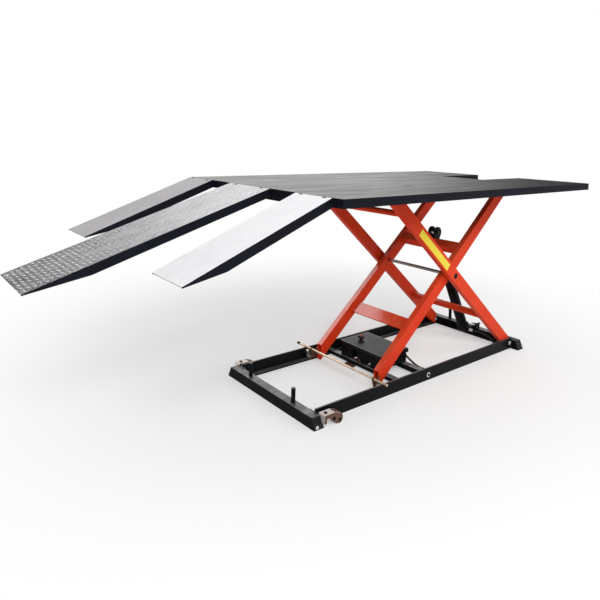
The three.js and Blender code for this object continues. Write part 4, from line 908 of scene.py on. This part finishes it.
# %% Bolts in place
RAIL_BOLT_BACK, RAIL_BOLT_HEIGHT, WASHER_PROUD = 0.008, 0.030, 0.0012
RAIL_WASHER = [(3, 0), (14, 0), (14.4, 0.4), (14.4, 1.2), (13.6, 1.7), (3, 1.7)]
CROSSBAR_BOLTS = [("crossbar_front", 0.018, 0.014), ("crossbar_rear", 0.046, 0.026)]  # inward, height
CASTER_TOP_BOLT, CASTER_SIDE_BOLTS = 0.024, [(0.062, 0.035), (0.100, 0.021)]  # inward, height

rail_bolt_x = middle("bearer_rear")[0].x - RAIL_BOLT_BACK
rail_bolts = [((rail_bolt_x, face_y(f"rail_{side}", sign), RAIL_BOLT_HEIGHT), (0, sign, 0))
              for side, sign in SIGN.items()]
base_bolts = [((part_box(bar)[0].x + inward, face_y(bar, sign), tall), (0, sign, 0))
              for sign in SIGN.values() for bar, inward, tall in CROSSBAR_BOLTS]
dark_bolts = [(Vector(place) + Vector(facing) * WASHER_PROUD, facing) for place, facing in rail_bolts]
for side, sign in SIGN.items():
    node = f"caster_bracket_{side}"
    low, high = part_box(node)
    dark_bolts.append(((low.x + CASTER_TOP_BOLT, (low.y + high.y) / 2, high.z), (0, 0, 1)))
    dark_bolts += [((low.x + inward, face_y(node, sign), tall), (0, sign, 0))
                   for inward, tall in CASTER_SIDE_BOLTS]
bolts("base_bolts", "base", "bright_steel", base_bolts, scale=0.75)
bolts("dark_bolts", "base", "bright_steel", dark_bolts, finish=black_oxide, scale=0.8)
for side, (place, facing) in zip(SIGN, rail_bolts):
    turned(f"rail_washer_{side}", place, Vector(place) + Vector(facing), RAIL_WASHER, bolt_steel,
           "base", 40)

# %% [markdown]
# ## Small plain shapes
# A strip on a leg, the black seats of the shaft, a foot under the pump and its short
# lever are too small for the frame. A box or a turned shape with a chamfer is enough.

# %% Strip, seats, foot and lever
def box_piece(name, origin, axes, low, high, finish, body, edge):
    """A chamfered box between two corners in mm, measured along three axes from an origin."""
    form = bmesh.new()
    bmesh.ops.create_cube(form, size=1.0)
    for vert in form.verts:
        spans = zip(axes, vert.co + Vector((0.5, 0.5, 0.5)), low, high)
        vert.co = sum((axis * (a + (b - a) * part) * MM for axis, part, a, b in spans), Vector(origin))
    bmesh.ops.bevel(form, geom=form.edges[:], offset=edge * MM, segments=2, affect="EDGES", profile=0.6)
    mesh = mesh_of(name, form, finish)
    smooth_below(mesh, 30)
    fitted(name, mesh, body)


strip_yellow = painted(
    "yellow_strip", (228, 208, 68), (218, 192, 54), (240, 226, 112),
    rough=0.4, coat=0.03, level=0.05, dust_and_sheen=0.0, peel=0.03, crown=0.1)
LEAN = math.radians(40.2)  # of the outer legs
STRIP_LOW, STRIP_HIGH = (-452, -0.5, -25), (-96, 0.3, 17)
leg_face = Vector((SHAFT.x, face_y("outer_leg_near", -1), SHAFT.z))
leg_axes = (Vector((math.cos(LEAN), 0, -math.sin(LEAN))), ALONG_Y,
            Vector((math.sin(LEAN), 0, math.cos(LEAN))))
box_piece("leg_strip", leg_face, leg_axes, STRIP_LOW, STRIP_HIGH, strip_yellow,
          "outer_legs", edge=0.2)

SEAT = [(11, 6.4), (16.2, 0.1), (17.2, -0.1), (17.6, 0.4), (17.6, 4), (11, 6.6)]
for side, sign in SIGN.items():
    face = Vector((SHAFT.x, face_y(f"outer_leg_{side}", sign), SHAFT.z))
    turned(f"pivot_seat_{side}", face, face - Vector((0, sign, 0)), SEAT, black_oxide,
           "outer_legs", 48)

WORLD_AXES = (Vector((1, 0, 0)), ALONG_Y, Vector((0, 0, 1)))
PUMP_FOOT_LOW, PUMP_FOOT_HIGH = (-22, 45, 0.3), (3, 110, 9.5)
bearer_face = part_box("bearer_front")[0].x
box_piece("pump_foot", (bearer_face, 0, 0), WORLD_AXES, PUMP_FOOT_LOW, PUMP_FOOT_HIGH, dark_zinc,
          "base", edge=0.8)

LEVER_FROM, LEVER_TO = Vector((4, 44, 60)), Vector((-14, 2, 41))  # mm from the pump's front
pump_front = Vector((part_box("pump_body")[0].x, 0, 0))
length = (LEVER_TO - LEVER_FROM).length
lever = [(0, 0), (3.4, 0), (3.4, length - 1), (2.6, length), (0, length)]
turned("pump_lever", pump_front + LEVER_FROM * MM, pump_front + LEVER_TO * MM, lever, dark_zinc,
       "base")

# %% [markdown]
# ## The cylinder's fittings
# The rod runs through a gland nut at the top of the barrel, and a rubber wiper on the nut
# keeps dirt off the rod. Both are lathe shapes, drawn along the cylinder from its foot.

# %% Cylinder fittings
FOOT, TOP = HINGE["cylinder_stroke"], HINGE["cylinder_swing"]
GLAND = [(15.4, 404), (32.4, 404), (32.8, 405), (32.8, 410), (31.6, 411), (31.6, 413), (32.8, 414),
         (32.8, 424), (31, 427), (24, 429.6), (23, 430.6), (17, 430.6), (15.4, 429)]
WIPER = [(15.1, 430.4), (22, 430.4), (21.4, 432.6), (16.4, 433.6), (15.1, 433.2)]
turned("gland_nut", FOOT, TOP, GLAND, black_oxide, "cylinder_barrel", LATHE_STEPS)
turned("rod_wiper", FOOT, TOP, WIPER, rubber, "cylinder_barrel", LATHE_STEPS)

# %% [markdown]
# ## The hose
# The hose is a fixed length of stiff rubber between the pump and the cylinder's lug. It
# leaves the pump's outlet straight, drops to the floor beside the bearer, lies along the
# rail and rises to the lug. A curve with a round section is the natural way to make it;
# its points come from the same route as the frame's hose.

# %% The hose
HOSE_RADIUS, HOSE_LIES = 0.006, 0.0061  # its middle lies this high, on the floor and not in it
PUMP_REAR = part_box("treadle")[1].x
LUG = FOOT.x
RAIL = face_y("rail_near", -1)


def placed(route, from_x, from_y):
    """Points in mm from a place, in metres from the origin."""
    return [Vector((from_x + x * MM, from_y + y * MM, z * MM)) for x, y, z in route]


route = (
    placed([(9, -91, 70), (9, -101, 70), (9, -119, 66), (11, -150, 50), (22, -190, 28)], PUMP_REAR, 0)
    + placed([(53, 79, 13), (107, 62, 7), (171, 58, 6.3)], PUMP_REAR, RAIL)
    + placed([(-330, 58, 6.3), (-130, 58, 6.3), (-50, 61, 9), (2, 83, 21)], LUG, RAIL)
    + placed([(28, -180, 38), (26, -132, 52), (7, -88, 60), (0, -64, 60), (0, -45, 60)], LUG, 0)
)


def eased(points, steps=9):
    """A smooth line through the points, with evenly timed tangents."""
    line = []
    for k in range(len(points) - 1):
        p1, p2 = points[k], points[k + 1]
        p0 = points[k - 1] if k else p1 * 2 - p2
        p3 = points[k + 2] if k + 2 < len(points) else p2 * 2 - p1
        d0, d1, d2 = (math.sqrt((b - a).length) for a, b in ((p0, p1), (p1, p2), (p2, p3)))
        t1 = ((p1 - p0) / d0 - (p2 - p0) / (d0 + d1) + (p2 - p1) / d1) * d1
        t2 = ((p2 - p1) / d1 - (p3 - p1) / (d1 + d2) + (p3 - p2) / d2) * d1
        for step in range(steps):
            w = step / steps
            line.append(p1 + t1 * w + (p2 * 3 - p1 * 3 - t1 * 2 - t2) * w ** 2
                        + (p1 * 2 - p2 * 2 + t1 + t2) * w ** 3)
    return line + [points[-1]]


hose_line = eased(route)
for point in hose_line:
    point.z = max(point.z, HOSE_LIES)
hose_length = sum((b - a).length for a, b in zip(hose_line, hose_line[1:]))
hose_curve = bpy.data.curves.new("pressure_hose", "CURVE")
hose_curve.dimensions = "3D"
hose_curve.bevel_depth = HOSE_RADIUS
hose_curve.bevel_resolution = 6
hose_curve.use_fill_caps = True
spline = hose_curve.splines.new("POLY")
spline.points.add(len(hose_line) - 1)
for point, place in zip(spline.points, hose_line):
    point.co = (*place, 1)
spline.use_smooth = True
hose = object_of("pressure_hose", hose_curve)
hose_curve.materials.append(rubber)
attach(hose, "base")
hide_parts("pump_hose")
print("hose", round(hose_length, 3), "m")

# %% [markdown]
# Each end of the hose is crimped into a steel sleeve with a hexagonal nut. Both are lathe
# shapes on the hose's own line, the nut with only six steps.

# %% Hose ends
SLEEVE = [(6.1, 4), (9.2, 4), (9.6, 5), (9.6, 9), (8.8, 9.8), (8.8, 11), (9.6, 11.8), (9.6, 16), (8.8, 16.8),
          (8.8, 18), (9.6, 18.8), (9.6, 24), (8.6, 26), (6.1, 26)]
NUT = [(6.1, 0.4), (10.4, 0.4), (11.4, 1.2), (11.4, 7.4), (10.4, 8.2), (6.1, 8.2)]
OFF_THE_LUG = Vector((0, -0.001, 0))
for end, start in (("hose_pump", hose_line[0]), ("hose_lug", hose_line[-1] + OFF_THE_LUG)):
    for part, profile, steps in (("sleeve", SLEEVE, 32), ("nut", NUT, 6)):
        name = f"{end}_{part}"
        fitted(name, lathe_mesh(name, profile, start, -ALONG_Y, bolt_steel, steps), "base")

# %% [markdown]
# ## Floor, sky and lamps
# The lift stands on a pale matt floor that keeps its shadow. For the camera a thin white
# haze lies on it, which thickens to plain white far out, so that no horizon shows. From
# below the floor is clear, so that the underside can be looked at.

# %% Floor
FLOOR_RADIUS, WHITE_FROM, WHITE_AT, HAZE = 9.0, 1.2, 3.2, 0.35
HAZE_MIDDLE, FLOOR_BELOW = (0.5, 0, 0), 0.0005
ground = Finish("pale_floor", Roughness=0.9, Specular_IOR_Level=0.1)
away = ground.node("ShaderNodeVectorMath", {"operation": "DISTANCE"}, ground.place(), HAZE_MIDDLE,
                   output="Value")
to_camera = ground.node("ShaderNodeLightPath", {}, output="Is Camera Ray")
glow = ground.node("ShaderNodeEmission", {}, Color=(1, 1, 1, 1), Strength=1.0)
ground.set(Base_Color=shade((250, 250, 250)))
far_out = ground.between(away, WHITE_FROM, WHITE_AT, HAZE, 1.0) * to_camera
blend = ground.node("ShaderNodeMixShader", {}, far_out, Flow(ground, ground.shader.outputs[0]), glow)
below = ground.node("ShaderNodeNewGeometry", {}, output="Backfacing")
clear = ground.node("ShaderNodeBsdfTransparent", {})
clear_below = ground.node("ShaderNodeMixShader", {}, below, blend, clear)
ground.tree.links.new(clear_below.socket, ground.tree.nodes["Material Output"].inputs["Surface"])
floor_form = bmesh.new()
bmesh.ops.create_circle(floor_form, cap_ends=True, segments=96, radius=FLOOR_RADIUS)
floor = object_of("floor", mesh_of("floor", floor_form, ground.material))
floor.location.z = -FLOOR_BELOW

# %% [markdown]
# The sky is white to the camera. What metal and gloss mirror matters more than any lamp,
# so mirrored rays see a studio: a broad soft screen behind the object, a bright light
# panel above and to the left of it, dim walls beside them, and paler walls on the
# camera's side. Straight light from the sky is even, which keeps the shadows soft.
# Angles are in degrees, and each edge is soft from its first angle to its second.

# %% Sky
SCREEN_LEFT, SCREEN_RIGHT, SCREEN_TOP = (2, 30), (45, 67), (52, 80)
PANEL_LEFT, PANEL_RIGHT, PANEL_FOOT, PANEL_TOP = (-46, -32), (-12, -2), (33, 39), (58, 70)
WALL_MIDDLE, WALL_TURNS, WALL_BEHIND = 20, (62, 92), 0.45
WALL_WHITE, SCREEN_WHITE, PANEL_WHITE, SKY_LIGHT = 0.09, 1.0, 4.8, 0.66
world = bpy.data.worlds.new("sky")
bpy.context.scene.world = world
world.use_nodes = True
sky = Maths(world.node_tree)
way = sky.node("ShaderNodeTexCoord", {}, output="Generated")
x, y, z = (sky.node("ShaderNodeSeparateXYZ", {}, way, output=part) for part in "XYZ")
heading = x.sum("ARCTAN2", x, y) * (180 / math.pi)
rise = z.sum("ARCSINE", z) * (180 / math.pi)


def window(angle, opening, closing):
    """1 from where an angle's window opens to where it closes."""
    return sky.between(angle, *opening) * sky.between(angle, *closing, 1.0, 0.0)


screen = window(heading, SCREEN_LEFT, SCREEN_RIGHT) * sky.between(rise, *SCREEN_TOP, 1.0, 0.0)
panel = window(heading, PANEL_LEFT, PANEL_RIGHT) * window(rise, PANEL_FOOT, PANEL_TOP)
apart = heading - WALL_MIDDLE
behind = sky.between(apart.sum("ABSOLUTE", apart), *WALL_TURNS)
mirrored = screen * (SCREEN_WHITE - WALL_WHITE) + WALL_WHITE + panel * PANEL_WHITE + behind * WALL_BEHIND
seen, shone, through = (sky.node("ShaderNodeLightPath", {}, output=f"Is {kind} Ray")
                        for kind in ("Camera", "Glossy", "Transmission"))
straight = seen.sum("MAXIMUM", seen, through)
light = shone * (mirrored - SKY_LIGHT) + SKY_LIGHT
background = world.node_tree.nodes["Background"]
sky.put(background.inputs["Color"], (1, 1, 1, 1))
sky.put(background.inputs["Strength"], straight * (1 - light) + light)

# %% Lamps
LAMP_SIZE, LAMP_AIM = 3.0, Vector((0, 0, 0.5))


def lamp(name, place, power):
    """A round soft lamp, turned to the middle of the lift."""
    data = bpy.data.lights.new(name, "AREA")
    data.shape, data.size, data.energy = "DISK", LAMP_SIZE, power
    light = bpy.data.objects.new(name, data)
    bpy.context.scene.collection.objects.link(light)
    light.location = place
    light.rotation_euler = (LAMP_AIM - Vector(place)).to_track_quat("-Z", "Y").to_euler()


lamp("key", (-3.0, -4.8, 4.6), power=245)
lamp("fill", (4.0, -3.5, 3.0), power=60)
bpy.context.scene.view_settings.view_transform = "Standard"

# %% [markdown]
# ## The bolt pattern
# The bolt head that the tree copied is no longer needed, so it leaves the scene. The
# dressed lift has to stay inside the frame's box.

# %% The bolt pattern
bpy.data.objects.remove(PATTERN)
